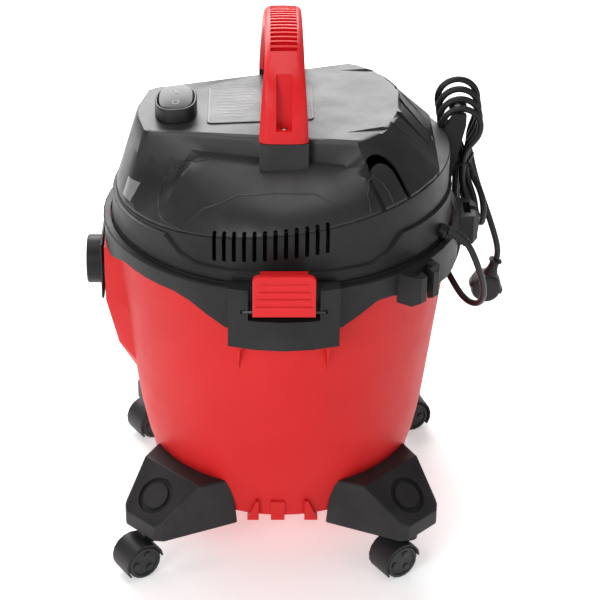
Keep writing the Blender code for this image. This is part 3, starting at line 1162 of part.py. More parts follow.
def make_plug():
    """A two-pin angled plug: the cord comes in at the top, the pins point away at the rear."""
    place = plug_place()
    back = Matrix.Rotation(math.radians(-90), 4, "X")
    body = turned("plug_body", [(PLUG_R - 0.0065, -0.0125), (PLUG_R - 0.0020, -0.0105), (PLUG_R, -0.0050),
                                (PLUG_R, 0.0100), (PLUG_R - 0.0007, 0.0115)], SOFT, 28, place @ back)
    neck = [(0.0095, 0.010), (0.0085, 0.0200), (0.0062, 0.0260), (0.0056, PLUG_NECK - 0.0032),
            (0.0082, PLUG_NECK - 0.0026), (0.0082, PLUG_NECK - 0.0006), (0.0070, PLUG_NECK)]
    join(body, turned("neck", neck, SOFT, 16, place))
    for tag, side in (("left", -1), ("right", 1)):
        grip_x = sorted((side * (PLUG_R - 0.002), side * (PLUG_R + 0.002)))
        join(body, block("grip", grip_x, (-0.006, 0.006), (-0.0035, 0.0035), SOFT, 0.0008, place))
        lay = place @ Matrix.Translation((side * PIN_AT, 0.0, 0.0)) @ back
        cut(body, turned("socket", [(PIN_R + GAP, 0.004), (PIN_R + GAP, 0.014)], TOOL, 16, lay))
        pin = [(PIN_R, 0.0044), (PIN_R, PIN_LONG - 0.0015), (PIN_R - 0.001, PIN_LONG)]
        turned("plug_pin_" + tag, pin, BRIGHT, 16, lay)


def smooth_route(points, spacing):
    """Evenly spaced points on a smooth curve through a route."""
    points = [Vector(p) for p in points]
    ends = [2 * points[0] - points[1]] + points + [2 * points[-1] - points[-2]]
    fine = []
    for k in range(len(points) - 1):
        p0, p1, p2, p3 = ends[k:k + 4]
        for step in range(24):
            t = step / 24
            fine.append(0.5 * (2 * p1 + (p2 - p0) * t + (2 * p0 - 5 * p1 + 4 * p2 - p3) * t * t
                               + (3 * p1 - p0 - 3 * p2 + p3) * t ** 3))
    fine.append(points[-1])
    lengths = [0.0]
    for a, b in zip(fine, fine[1:]):
        lengths.append(lengths[-1] + (b - a).length)
    count = max(int(round(lengths[-1] / spacing)), 2)
    result, at = [], 0
    for k in range(count + 1):
        want = lengths[-1] * k / count
        while at < len(fine) - 2 and lengths[at + 1] < want:
            at += 1
        share = (want - lengths[at]) / (lengths[at + 1] - lengths[at])
        result.append(fine[at].lerp(fine[at + 1], min(max(share, 0.0), 1.0)))
    return result


def make_tube(name, route):
    """A length of cord along a route, with its first and last stretches kept straight."""
    curve = bpy.data.curves.new(name, "CURVE")
    curve.dimensions = "3D"
    curve.bevel_depth = CORD_R
    curve.bevel_resolution = 2
    curve.use_fill_caps = True
    spline = curve.splines.new("POLY")
    points = smooth_route(route, 2.6 * 2 * CORD_R)
    points[1:1] = [Vector(route[1])]
    points[-1:-1] = [Vector(route[-2])]
    spline.points.add(len(points) - 1)
    for slot, point in zip(spline.points, points):
        slot.co = (*point, 1.0)
    cord = bpy.data.objects.new(name, curve)
    bpy.context.scene.collection.objects.link(cord)
    curve.materials.append(material(name + "_material", RUBBER, 0.6))


def make_cords():
    """The cord from the gland to the hank, and the end that hangs from it to the plug."""
    a = math.radians(GLAND_TURN)
    starts = [(r * math.cos(a), r * math.sin(a), GLAND_Z) for r in (GLAND_FACE + GAP, GLAND_FACE + STRAIGHT)]
    up = hank_place() @ Vector((0.0, 0.0, -STRAIGHT)), hank_place() @ Vector((0.0, 0.0, -GAP))
    make_tube("cord_lead", starts + list(LEAD_ROUTE) + [tuple(point) for point in up])
    tops = [plug_place() @ Vector((0.0, 0.0, PLUG_NECK + rise)) for rise in (STRAIGHT, GAP)]
    make_tube("cord_tail", list(TAIL_ROUTE) + [tuple(point) for point in tops])


make_drum()
make_collar()
make_inlet()
make_inlet_elbow()
for latch_tag, latch_side in (("front", -1), ("rear", 1)):
    make_latch(latch_tag, latch_side)
make_base()
make_cover()
make_handle()
for screw_tag, screw_side in (("front", -1), ("rear", 1)):
    make_screw("handle_screw_" + screw_tag, (0.0, screw_side * SCREW_Y, HANDLE_FOOT_Z + SCREW_SEAT + GAP))
make_switch()
make_label()
make_corners()
make_motor()
make_float_and_filter()
make_seals()
make_gland()
make_hook()
make_hank()
make_plug()
make_cords()
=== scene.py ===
import math

import bpy
from mathutils import Matrix, Vector
from mathutils.bvhtree import BVHTree


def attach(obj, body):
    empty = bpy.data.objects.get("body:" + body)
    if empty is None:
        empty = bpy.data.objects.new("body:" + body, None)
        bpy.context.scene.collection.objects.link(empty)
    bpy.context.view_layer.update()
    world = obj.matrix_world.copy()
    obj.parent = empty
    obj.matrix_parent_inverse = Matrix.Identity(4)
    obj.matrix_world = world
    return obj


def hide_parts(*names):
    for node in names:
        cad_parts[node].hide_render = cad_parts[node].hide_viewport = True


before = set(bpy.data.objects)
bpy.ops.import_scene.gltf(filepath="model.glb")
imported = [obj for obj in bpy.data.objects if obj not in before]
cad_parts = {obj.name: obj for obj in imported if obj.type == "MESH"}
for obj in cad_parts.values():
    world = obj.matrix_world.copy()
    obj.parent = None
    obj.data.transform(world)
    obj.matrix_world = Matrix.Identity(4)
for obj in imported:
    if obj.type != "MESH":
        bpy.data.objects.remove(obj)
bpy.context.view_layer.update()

# camera: the point looked at, distance, elevation, turn and roll, and the lens
TARGET = (0.02197, 0.27386)
DISTANCE = 2.35408
ELEVATION = math.radians(29.126)
YAW = math.radians(1.396)
ROLL = math.radians(0.722)
LENS = 119.603

# light and floor: each lamp's place, the point it is aimed at, its size in metres and its watts
WORLD_FILL = 0.22
LAMPS = {
    "key": ((-1.3, -2.3, 1.5), (0, 0, 0.3), (1.2, 1.2), 31),
    "fill": ((1.6, -2.2, 0.7), (0, 0, 0.3), (0.8, 1.2), 5),
    "back": ((-0.5, 2.2, 1.75), (0, 0, 0.4), (3.0, 1.5), 100),
    "overhead": ((-0.1, 0.0, 2.4), (0, 0, 0.4), (1.2, 1.2), 16),
}
FLOOR_HALF, FLOOR_Z, FLOOR_GLOW = 9, -0.0002, 0.42

# surfaces: cells per metre, detail and roughness of the noise behind the patches, the gloss and the scuffs
PATCH_NOISE, GLOSS_NOISE, SCUFF_NOISE = (14, 4, 0.55), (30, 5, 0.65), (55, 6, 0.75)
GRAIN_DETAIL = 2
NOISE_MIDDLE, SCUFF_RANGE = (0.3, 0.7), (0.60, 0.80)
COAT_ROUGH = 0.18

# softened edges of the CAD nodes
WELD_GAP = 0.000002
FLAT_WITHIN = math.radians(0.4)
SOFTEN_ABOVE = math.radians(36)
SPLIT_ABOVE = math.radians(34)
SHARP_ABOVE = math.radians(40)

# head and casters, in metres
DECK_Z, DECK_SLOPE = 0.526, 0.045
LABEL_X, LABEL_HALF, LABEL_TOP = (-0.0825, 0.0325), 0.0475, 0.0012
PRINT_RISE, PRINT_LINE = 0.00015, 0.0006
PRINT_ROWS, PRINT_FIRST, PRINT_PITCH, PRINT_HIGH = 9, 0.034, 0.0085, 0.0016
PRINT_COLUMNS, PRINT_MARGIN, PRINT_COLUMN = 2, 0.008, 0.055
PRINT_LONG, PRINT_SHORTER = 0.046, 0.009
SWITCH_AT, ROCKER_TOP, ROCKER_TILT = (-0.119, -0.012), 0.5436, 0.16
MARK_HALF = 0.0002
DASH_HALF, DASH_FROM, DASH_TO = 0.0012, 0.0075, 0.0150
OVAL_Y, OVAL_INNER, OVAL_OUTER = -0.0110, 0.0030, 0.0040
COVER_LINES = (  # (degrees, height) along each moulded line, and its radius
    (((-130, 0.5015), (-138, 0.497), (-143.5, 0.490), (-146.4, 0.480), (-146.6, 0.470), (-143.6, 0.4575),
      (-137, 0.4475), (-126, 0.4455)), 0.0008),
    (((-125.9, 0.4475), (-119.4, 0.4694), (-108, 0.4842), (-93, 0.4884), (-78, 0.4889), (-68.9, 0.4775)),
     0.0005),
    (((-60.5, 0.4706), (-59.6, 0.4852), (-56.8, 0.4929), (-54, 0.4985), (-51.6, 0.4937), (-50.8, 0.4825),
      (-51, 0.4729)), 0.0009),
)
BEAD_STEPS, BEAD_SIDES, BEAD_FLATTEN = 8, 10, 1.6
OUTSIDE = 0.3  # a radius that is clear of the head
BADGE = ((-162, -155), (0.4415, 0.4620))  # degrees, heights
BADGE_CELLS, BADGE_RISES = (8, 4), (-0.0002, 0.0005)
CASTER_TURNS = {"front_left": 33, "front_right": 33, "rear_left": 33, "rear_right": 197.5}  # degrees
LOBES, LOBE_SIDES = 3, 20
LOBE_OUT, LOBE_R, LOBE_TURN = 0.0105, 0.0042, 0.4
LOBE_LAYERS = ((0.0158, 0.0), (0.0168, 0.0), (0.0171, 0.0006))  # height above the wheel's middle, inset

# cord, in metres
CORD_R = 0.00375
GLAND_TURN = math.radians(-24.2)
GLAND_Z = 0.4068
GLAND_FACE = 0.2025
GAP = 0.0004
STRAIGHT = 0.005
CORD_STEP, CORD_PASSES, CORD_SUBSTEPS = 0.004, 3, 16
LEAD_ROUTE = (
    (0.1960, -0.0868, 0.4035), (0.2060, -0.0884, 0.3945), (0.2140, -0.0880, 0.3790), (0.2210, -0.0848, 0.3600),
    (0.2262, -0.0790, 0.3420), (0.2296, -0.0705, 0.3240), (0.2295, -0.0590, 0.3065), (0.2240, -0.0455, 0.2945),
    (0.2150, -0.0335, 0.2925), (0.2068, -0.0238, 0.2985), (0.1995, -0.0145, 0.3080), (0.1945, -0.0030, 0.3135),
    (0.1930, 0.0095, 0.3120), (0.1950, 0.0220, 0.3060), (0.1995, 0.0345, 0.3010), (0.2050, 0.0460, 0.3015),
    (0.2092, 0.0553, 0.3085),
)
TAIL_ROUTE = (
    (0.2262, 0.0650, 0.4140), (0.2318, 0.0620, 0.3960), (0.2385, 0.0585, 0.3780), (0.2452, 0.0550, 0.3600),
    (0.2512, 0.0522, 0.3430), (0.2562, 0.0505, 0.3270), (0.2588, 0.0500, 0.3150),
)
HANK_LOW = Vector((0.2262, 0.0575, 0.3235))
HANK_LEAN = math.radians(7.37)
HANK_TOPS = (0.1820, 0.1905, 0.1993, 0.2080)
HANK_LOWS = (0.0, 0.010, 0.020)
HANK_FIRST = (0.004, 0.030, 0.065)
HANK_LAYERS = len(HANK_TOPS)
TIE_UP = 0.109
FOLD_R = 0.0234
FOLD_STEPS, FLARE_STEPS = 12, 6
LOW_TURN = math.radians(70)
TIE_ROOM = 0.005
RUN_HALF = 0.0044
LAYER_PITCH = 0.0086
HANK_TWIST = math.radians(-86)
TWIST_FROM, TWIST_OVER = 0.010, 0.155
PLUG_AT = Vector((0.2470, 0.0500, 0.2660))
PLUG_LEAN = math.radians(16)
PLUG_NECK = 0.0375

# the cord's sleeve and its tie, in metres
RELIEF_RINGS, RELIEF_SIDES = 22, 20
RELIEF_FROM, RELIEF_LONG = 0.0008, 0.024
RELIEF_R, RELIEF_TAPER, RELIEF_RIB = 0.0062, 0.0019, 0.0005
TIE_CLEAR, TIE_WAVE, TIE_SQUARE = 0.0009, 0.0006, 0.55
TIE_POINTS, TIE_SIDES, TIE_THICK, TIE_WIDE = 48, 10, 0.0008, 0.0017
KNOT_CLEAR, END_AHEAD = 0.0004, (0.35, -0.55, -0.75)
END_STEPS, END_SIDES, END_LONG, END_R = 24, 8, 0.021, 0.0009
END_TURN, END_APART, END_SPLAY = 9.0, 0.0010, 0.0026


# ---------------------------------------------------------------- camera, light and floor
def stand_camera():
    target_x, target_z = TARGET
    turn = Matrix.Rotation(-YAW, 3, "Z")
    ahead = turn @ Vector((0, math.cos(ELEVATION), -math.sin(ELEVATION)))
    right = turn @ Vector((1, 0, 0))
    up = turn @ Vector((0, math.sin(ELEVATION), math.cos(ELEVATION)))
    aim = turn @ Vector((target_x, 0, 0)) + Vector((0, 0, target_z))
    across = right * math.cos(ROLL) + up * math.sin(ROLL)
    over = up * math.cos(ROLL) - right * math.sin(ROLL)
    data = bpy.data.cameras.new("camera")
    data.lens = LENS
    data.sensor_width = 36
    data.clip_start = 0.05
    data.clip_end = 50
    camera = bpy.data.objects.new("camera", data)
    frame_axes = Matrix((across, over, -ahead)).transposed().to_4x4()
    camera.matrix_world = Matrix.Translation(aim - ahead * DISTANCE) @ frame_axes
    bpy.context.scene.collection.objects.link(camera)
    bpy.context.scene.camera = camera


def area_light(name, place, aim, size, power):
    data = bpy.data.lights.new(name, "AREA")
    data.shape = "RECTANGLE"
    data.size, data.size_y = size
    data.energy = power
    lamp = bpy.data.objects.new(name, data)
    lamp.location = place
    lamp.rotation_euler = (Vector(aim) - Vector(place)).to_track_quat("-Z", "Y").to_euler()
    bpy.context.scene.collection.objects.link(lamp)


def light_studio():
    """A white floor and sky, with a soft key at the front left, a low fill, and lights above and behind."""
    world = bpy.data.worlds.new("studio")
    world.use_nodes = True
    tree = world.node_tree
    sky = tree.nodes["Background"]
    sky.inputs["Color"].default_value = (1, 1, 1, 1)
    path = tree.nodes.new("ShaderNodeLightPath")
    level = tree.nodes.new("ShaderNodeMapRange")
    level.inputs["To Min"].default_value = WORLD_FILL
    level.inputs["To Max"].default_value = 1.0
    tree.links.new(path.outputs["Is Camera Ray"], level.inputs["Value"])
    tree.links.new(level.outputs["Result"], sky.inputs["Strength"])
    bpy.context.scene.world = world
    bpy.context.scene.view_settings.view_transform = "Standard"
    for name, (place, aim, size, power) in LAMPS.items():
        area_light(name, place, aim, size, power)
    mesh = bpy.data.meshes.new("floor")
    corners = ((-1, -1), (1, -1), (1, 1), (-1, 1))
    mesh.from_pydata([(x * FLOOR_HALF, y * FLOOR_HALF, FLOOR_Z) for x, y in corners], [], [(0, 1, 2, 3)])
    floor = bpy.data.objects.new("floor", mesh)
    bpy.context.scene.collection.objects.link(floor)
    white = coat("floor_white", (0.90, 0.90, 0.90), 0.8, grain=(40, 0.02, 0.00002), mottle=0.01)
    shader = white.node_tree.nodes["Principled BSDF"]
    shader.inputs["Emission Color"].default_value = (1, 1, 1, 1)
    shader.inputs["Emission Strength"].default_value = FLOOR_GLOW
    floor.data.materials.append(white)


# ---------------------------------------------------------------- materials
def coat(name, colour, rough, metallic=0.0, grain=(900, 0.12, 0.00006), mottle=0.06, scuff=0.0, clear=0.0,
         stretch=(1, 1, 1), sheen=0.0, spread=0.10, shine=0.30):
    """A surface with grain in its height, patchy colour and roughness, and fine scuffs.

    grain is its cells per metre, the strength of the bump and the depth of the bump in metres; spread is the
    whole range of the roughness, and shine the strength of the mirror-like part.
    """
    made = bpy.data.materials.new(name)
    made.use_nodes = True
    nodes, links = made.node_tree.nodes, made.node_tree.links
    shader = nodes["Principled BSDF"]
    shader.inputs["Metallic"].default_value = metallic
    shader.inputs["Coat Weight"].default_value = clear
    shader.inputs["Coat Roughness"].default_value = COAT_ROUGH
    shader.inputs["Specular IOR Level"].default_value = shine
    if sheen:
        shader.inputs["Sheen Weight"].default_value = sheen
    place = nodes.new("ShaderNodeTexCoord")
    scale = nodes.new("ShaderNodeMapping")
    scale.inputs["Scale"].default_value = stretch
    links.new(place.outputs["Object"], scale.inputs["Vector"])

    def noise(cells, detail, rough_noise):
        node = nodes.new("ShaderNodeTexNoise")
        node.inputs["Scale"].default_value = cells
        node.inputs["Detail"].default_value = detail
        node.inputs["Roughness"].default_value = rough_noise
        links.new(scale.outputs["Vector"], node.inputs["Vector"])
        return node

    def ramp(source, span, first, second):
        node = nodes.new("ShaderNodeMapRange")
        node.inputs["From Min"].default_value = span[0]
        node.inputs["From Max"].default_value = span[1]
        node.inputs["To Min"].default_value = first
        node.inputs["To Max"].default_value = second
        links.new(source.outputs[0], node.inputs["Value"])
        return node

    patches = noise(*PATCH_NOISE)
    fine = noise(grain[0], GRAIN_DETAIL, PATCH_NOISE[2])
    dark = tuple(c * (1 - mottle) for c in colour)
    light = tuple(min(c * (1 + mottle) + 0.004 * mottle / 0.06, 1) for c in colour)
    mix = nodes.new("ShaderNodeMix")
    mix.data_type = "RGBA"
    mix.inputs["A"].default_value = (*dark, 1)
    mix.inputs["B"].default_value = (*light, 1)
    links.new(ramp(patches, NOISE_MIDDLE, 0, 1).outputs["Result"], mix.inputs["Factor"])
    colour_out = mix.outputs["Result"]
    if scuff:
        marks = noise(*SCUFF_NOISE)
        worn = nodes.new("ShaderNodeMix")
        worn.data_type = "RGBA"
        pale = tuple(min(c * 1.5 + 0.05, 1) for c in colour)
        worn.inputs["B"].default_value = (*pale, 1)
        links.new(colour_out, worn.inputs["A"])
        links.new(ramp(marks, SCUFF_RANGE, 0, scuff).outputs["Result"], worn.inputs["Factor"])
        colour_out = worn.outputs["Result"]
    links.new(colour_out, shader.inputs["Base Color"])
    gloss = ramp(noise(*GLOSS_NOISE), NOISE_MIDDLE, max(rough - spread / 2, 0.02), min(rough + spread / 2, 1))
    links.new(gloss.outputs["Result"], shader.inputs["Roughness"])
    bump = nodes.new("ShaderNodeBump")
    bump.inputs["Strength"].default_value = grain[1]
    bump.inputs["Distance"].default_value = grain[2]
    links.new(fine.outputs[0], bump.inputs["Height"])
    links.new(bump.outputs["Normal"], shader.inputs["Normal"])
    return made


LOOKS = {
    "drum_red": coat("drum_red", (0.66, 0.014, 0.015), 0.50, grain=(1500, 0.30, 0.00005), mottle=0.03,
                     scuff=0.02, shine=0.22),
    "grip_red": coat("grip_red", (0.74, 0.012, 0.016), 0.42, grain=(1700, 0.30, 0.00005), mottle=0.03,
                     scuff=0.02, shine=0.30),
    "body_black": coat("body_black", (0.013, 0.013, 0.0135), 0.44, grain=(1300, 0.45, 0.00006), mottle=0.16,
                       scuff=0.08, shine=0.22),
    "cover_black": coat("cover_black", (0.019, 0.019, 0.0195), 0.40, grain=(1100, 0.50, 0.00007), mottle=0.16,
                        scuff=0.08, shine=0.34),
    "foot_black": coat("foot_black", (0.018, 0.017, 0.0185), 0.48, grain=(1000, 0.50, 0.00007), mottle=0.18,
                       scuff=0.12, shine=0.26),
    "switch_black": coat("switch_black", (0.020, 0.020, 0.021), 0.30, grain=(1600, 0.20, 0.00004), mottle=0.10,
                         clear=0.2),
    "wheel_black": coat("wheel_black", (0.020, 0.020, 0.021), 0.42, grain=(900, 0.4, 0.00008), mottle=0.2,
                        scuff=0.35),
    "seal_rubber": coat("seal_rubber", (0.018, 0.018, 0.018), 0.72, grain=(1400, 0.4, 0.00008), mottle=0.2),
    "cord_rubber": coat("cord_rubber", (0.013, 0.013, 0.014), 0.40, grain=(1800, 0.35, 0.00005), mottle=0.2,
                        scuff=0.10),
    "plug_rubber": coat("plug_rubber", (0.016, 0.016, 0.017), 0.48, grain=(1300, 0.5, 0.00006), mottle=0.2),
    "steel": coat("steel", (0.06, 0.06, 0.06), 0.34, metallic=1.0, grain=(2200, 0.25, 0.00003), mottle=0.06,
                  stretch=(0.08, 1, 1)),
    "zinc": coat("zinc", (0.50, 0.50, 0.48), 0.34, metallic=1.0, grain=(1600, 0.3, 0.00004), mottle=0.10),
    "motor_steel": coat("motor_steel", (0.52, 0.52, 0.53), 0.36, metallic=1.0, grain=(1400, 0.3, 0.00004),
                        mottle=0.08, stretch=(1, 1, 0.1)),
    "fan_aluminium": coat("fan_aluminium", (0.72, 0.73, 0.74), 0.32, metallic=1.0, grain=(1500, 0.25, 0.00004),
                          mottle=0.05),
    "filter_paper": coat("filter_paper", (0.74, 0.70, 0.60), 0.90, grain=(700, 0.7, 0.00015), mottle=0.10,
                         sheen=0.2),
    "float_white": coat("float_white", (0.74, 0.74, 0.72), 0.45, grain=(900, 0.3, 0.00005), mottle=0.04),
    "plate_black": coat("plate_black", (0.030, 0.030, 0.031), 0.36, grain=(1500, 0.2, 0.00003), mottle=0.08),
    "plate_print": coat("plate_print", (0.42, 0.42, 0.42), 0.55, grain=(1800, 0.2, 0.00003), mottle=0.05),
    "badge_silver": coat("badge_silver", (0.36, 0.36, 0.37), 0.34, metallic=0.6, grain=(1500, 0.2, 0.00003),
                         mottle=0.08),
    "pin_nickel": coat("pin_nickel", (0.66, 0.64, 0.58), 0.22, metallic=1.0, grain=(1500, 0.2, 0.00002),
                       mottle=0.05),
}

NODE_LOOKS = {
    "drum_red": ["drum"],
    "grip_red": ["handle", "latch_front", "latch_rear"],
    "body_black": ["collar", "inlet_port", "head_base", "fan_housing", "float_cage", "filter_knob",
                   "cord_gland", "cord_hook", "inlet_deflector"],
    "cover_black": ["head_cover", "switch_bezel"],
    "foot_black": ["foot_front_left", "foot_front_right", "foot_rear_left", "foot_rear_right",
                   "caster_front_left", "caster_front_right", "caster_rear_left", "caster_rear_right"],
    "switch_black": ["switch_rocker"],
    "wheel_black": ["wheel_front_left", "wheel_front_right", "wheel_rear_left", "wheel_rear_right"],
    "seal_rubber": ["inlet_gasket", "drum_seal", "motor_seal"],
    "steel": ["latch_pin_front", "latch_pin_rear", "rotor_shaft"],
    "zinc": ["handle_screw_front", "handle_screw_rear"],
    "motor_steel": ["motor_body"],
    "fan_aluminium": ["impeller"],
    "filter_paper": ["filter_cartridge"],
    "float_white": ["float"],
    "plate_black": ["label_plate"],
    "pin_nickel": ["plug_pin_left", "plug_pin_right"],
    "plug_rubber": ["plug_body"],
}
ROUNDED = {  # width of the softened edges on the moulded parts, in metres
    "drum": 0.0009, "collar": 0.0008, "head_base": 0.0006, "head_cover": 0.0008, "handle": 0.0009,
    "latch_front": 0.0008, "latch_rear": 0.0008, "inlet_port": 0.0006, "switch_bezel": 0.0006,
    "label_plate": 0.0003, "foot_front_left": 0.0015, "foot_front_right": 0.0015, "foot_rear_left": 0.0015,
    "foot_rear_right": 0.0015,
    "caster_front_left": 0.0005, "caster_front_right": 0.0005, "caster_rear_left": 0.0005,
    "caster_rear_right": 0.0005, "cord_hook": 0.0008, "plug_body": 0.0005,
}


def dress_nodes():
    for look, names in NODE_LOOKS.items():
        for name in names:
            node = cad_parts[name]
            for slot in node.material_slots:
                slot.material = LOOKS[look]
            if not node.material_slots:
                node.data.materials.append(LOOKS[look])
    for name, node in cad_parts.items():
        refine(node, ROUNDED.get(name))


def refine(node, width):
    """Smooth shading on a CAD node: its flat areas merge, and its edges get a radius or stay sharp."""
    mesh = node.data
    if "custom_normal" in mesh.attributes:
        mesh.attributes.remove(mesh.attributes["custom_normal"])
    mesh.polygons.foreach_set("use_smooth", [True] * len(mesh.polygons))
    weld = node.modifiers.new("weld", "WELD")
    weld.merge_threshold = WELD_GAP
    merge = node.modifiers.new("merge", "DECIMATE")
    merge.decimate_type = "DISSOLVE"
    merge.angle_limit = FLAT_WITHIN
    if width:
        soften = node.modifiers.new("soften", "BEVEL")
        soften.width = width
        soften.segments = 2
        soften.limit_method = "ANGLE"
        soften.angle_limit = SOFTEN_ABOVE
        soften.use_clamp_overlap = True
        even = node.modifiers.new("even", "WEIGHTED_NORMAL")
        even.mode = "FACE_AREA"
        even.weight = 60
    else:
        split = node.modifiers.new("split", "EDGE_SPLIT")
        split.split_angle = SPLIT_ABOVE


# ---------------------------------------------------------------- mesh helpers
def place_mesh(name, verts, faces, look, body, smooth=True):
    mesh = bpy.data.meshes.new(name)
    mesh.from_pydata([tuple(v) for v in verts], [], faces)
    mesh.validate()
    mesh.update()
    if smooth:
        mesh.shade_smooth()
        mesh.set_sharp_from_angle(angle=SHARP_ABOVE)
    mesh.materials.append(LOOKS[look])
    piece = bpy.data.objects.new(name, mesh)
    bpy.context.scene.collection.objects.link(piece)
    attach(piece, body)
    return piece


def swept(rings, closed=False, caps=True):
    """Vertices and faces of a skin through rings that have the same number of points."""
    count = len(rings[0])
    verts = [v for ring in rings for v in ring]
    faces = []
    spans = len(rings) if closed else len(rings) - 1
    for k in range(spans):
        a, b = k * count, (k + 1) % len(rings) * count
        for i in range(count):
            j = (i + 1) % count
            faces.append((a + i, a + j, b + j, b + i))
    if caps and not closed:
        faces.append(tuple(range(count))[::-1])
        faces.append(tuple(range((len(rings) - 1) * count, len(rings) * count)))
    return verts, faces


def circle(count):
    """The (cosine, sine) pairs of evenly spaced points on a circle."""
    return [(math.cos(math.tau * i / count), math.sin(math.tau * i / count)) for i in range(count)]


# ---------------------------------------------------------------- the cord
def smooth_step(t):
    t = min(max(t, 0.0), 1.0)
    return t * t * (3 - 2 * t)


def hank_point(across, through, up):
    """A point of the bundle: its cross-section turns a quarter of the way round on the way up."""
    along = Vector((-math.sin(HANK_LEAN), 0, math.cos(HANK_LEAN)))
    side = Vector((math.cos(HANK_LEAN), 0, math.sin(HANK_LEAN)))
    turn = HANK_TWIST * (1 - smooth_step((up - TWIST_FROM) / TWIST_OVER))
    first = side * math.cos(turn) + Vector((0, math.sin(turn), 0))
    second = Vector((0, math.cos(turn), 0)) - side * math.sin(turn)
    return HANK_LOW + along * up + first * across + second * through


def flare(reach):
    """(half width, distance from the fold's centre) where a fold narrows to the tied run over a length."""
    inward = FOLD_R - RUN_HALF
    lean = 2 * math.atan(inward / reach)
    bend = reach / (2 * math.sin(lean))
    steps = [lean * i / FLARE_STEPS for i in range(FLARE_STEPS + 1)]
    points = [(FOLD_R - bend * (1 - math.cos(f)), bend * math.sin(f)) for f in steps]
    points += [(RUN_HALF + bend * (1 - math.cos(f)), reach - bend * math.sin(f)) for f in steps[::-1][1:]]
    return points


def bundle_route():
    """The cord's centreline through the bundle: one loop in each layer, front to back."""
    layers = [LAYER_PITCH * (k - (HANK_LAYERS - 1) / 2) for k in range(HANK_LAYERS)]
    highs = [top - CORD_R - FOLD_R for top in HANK_TOPS]
    lows = [low + CORD_R + FOLD_R for low in HANK_LOWS]
    upper = [flare(high - TIE_UP - TIE_ROOM) for high in highs]
    lower = [flare(TIE_UP - TIE_ROOM - low) for low in lows]
    local = []
    for k, layer in enumerate(layers):
        if k == 0:
            local += [(-RUN_HALF, layer, up) for up in HANK_FIRST]
        else:
            local += [(-a, layer, lows[k - 1] + d) for a, d in lower[k - 1][1:]]
        local += [(-a, layer, highs[k] - d) for a, d in upper[k][::-1]]
        for i in range(1, FOLD_STEPS):
            t = math.pi * (1 - i / FOLD_STEPS)
            local.append((FOLD_R * math.cos(t), layer, highs[k] + FOLD_R * math.sin(t)))
        local += [(a, layer, highs[k] - d) for a, d in upper[k]]
        if k == HANK_LAYERS - 1:
            continue
        start, end = TIE_UP - TIE_ROOM, lows[k] - FOLD_R * math.sin(LOW_TURN)

        def shifted(up):
            return layer + LAYER_PITCH * smooth_step((start - up) / (start - end))

        local += [(a, shifted(lows[k] + d), lows[k] + d) for a, d in lower[k][::-1]]
        for i in range(1, FOLD_STEPS):
            t = -math.pi * i / FOLD_STEPS
            across, up = FOLD_R * math.cos(t), lows[k] + FOLD_R * math.sin(t)
            local.append((across, shifted(up) if across > 0 else layer + LAYER_PITCH, up))
        local.append((-FOLD_R, layer + LAYER_PITCH, lows[k]))
    return [hank_point(*point) for point in local]


def even_route(points, spacing, passes):
    """Evenly spaced points on a smooth curve through a route, lightly relaxed."""
    ends = [2 * points[0] - points[1]] + points + [2 * points[-1] - points[-2]]
    fine = []
    for k in range(len(points) - 1):
        p0, p1, p2, p3 = ends[k:k + 4]
        for i in range(CORD_SUBSTEPS):
            t = i / CORD_SUBSTEPS
            fine.append(0.5 * (2 * p1 + (p2 - p0) * t + (2 * p0 - 5 * p1 + 4 * p2 - p3) * t * t
                               + (3 * p1 - p0 - 3 * p2 + p3) * t ** 3))
    fine.append(points[-1])
    reach = [0.0]
    for a, b in zip(fine, fine[1:]):
        reach.append(reach[-1] + (b - a).length)
    count = int(reach[-1] / spacing)
    route, at = [], 0
    for k in range(count + 1):
        want = reach[-1] * k / count
        while at < len(fine) - 2 and reach[at + 1] < want:
            at += 1
        route.append(fine[at].lerp(fine[at + 1], (want - reach[at]) / (reach[at + 1] - reach[at])))
    for _ in range(passes):
        inner = [0.5 * route[i] + 0.25 * (route[i - 1] + route[i + 1]) for i in range(2, len(route) - 2)]
        route[2:-2] = inner
    return route


def plug_axis():
    return Vector((math.sin(PLUG_LEAN), 0, math.cos(PLUG_LEAN)))


def run_cord():
    gland = [Vector((r * math.cos(GLAND_TURN), r * math.sin(GLAND_TURN), GLAND_Z))
             for r in (GLAND_FACE + GAP, GLAND_FACE + STRAIGHT)]
    plug = [PLUG_AT + plug_axis() * (PLUG_NECK + rise) for rise in (STRAIGHT, GAP)]
    lead, tail = [Vector(p) for p in LEAD_ROUTE], [Vector(p) for p in TAIL_ROUTE]
    points = gland + lead + bundle_route() + tail + plug
    route = even_route(points, CORD_STEP, CORD_PASSES)
    curve = bpy.data.curves.new("power_cord", "CURVE")
    curve.dimensions = "3D"
    curve.bevel_depth = CORD_R
    curve.bevel_resolution = 5
    curve.use_fill_caps = True
    spline = curve.splines.new("POLY")
    spline.points.add(len(route) - 1)
    for point, place in zip(spline.points, route):
        point.co = (*place, 1.0)
    spline.use_smooth = True
    curve.materials.append(LOOKS["cord_rubber"])
    cord = bpy.data.objects.new("power_cord", curve)
    bpy.context.scene.collection.objects.link(cord)
    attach(cord, "head")
    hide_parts("cord_lead", "cord_hank", "cord_tail")
    length = sum((b - a).length for a, b in zip(route, route[1:]))
    return cord, route, length


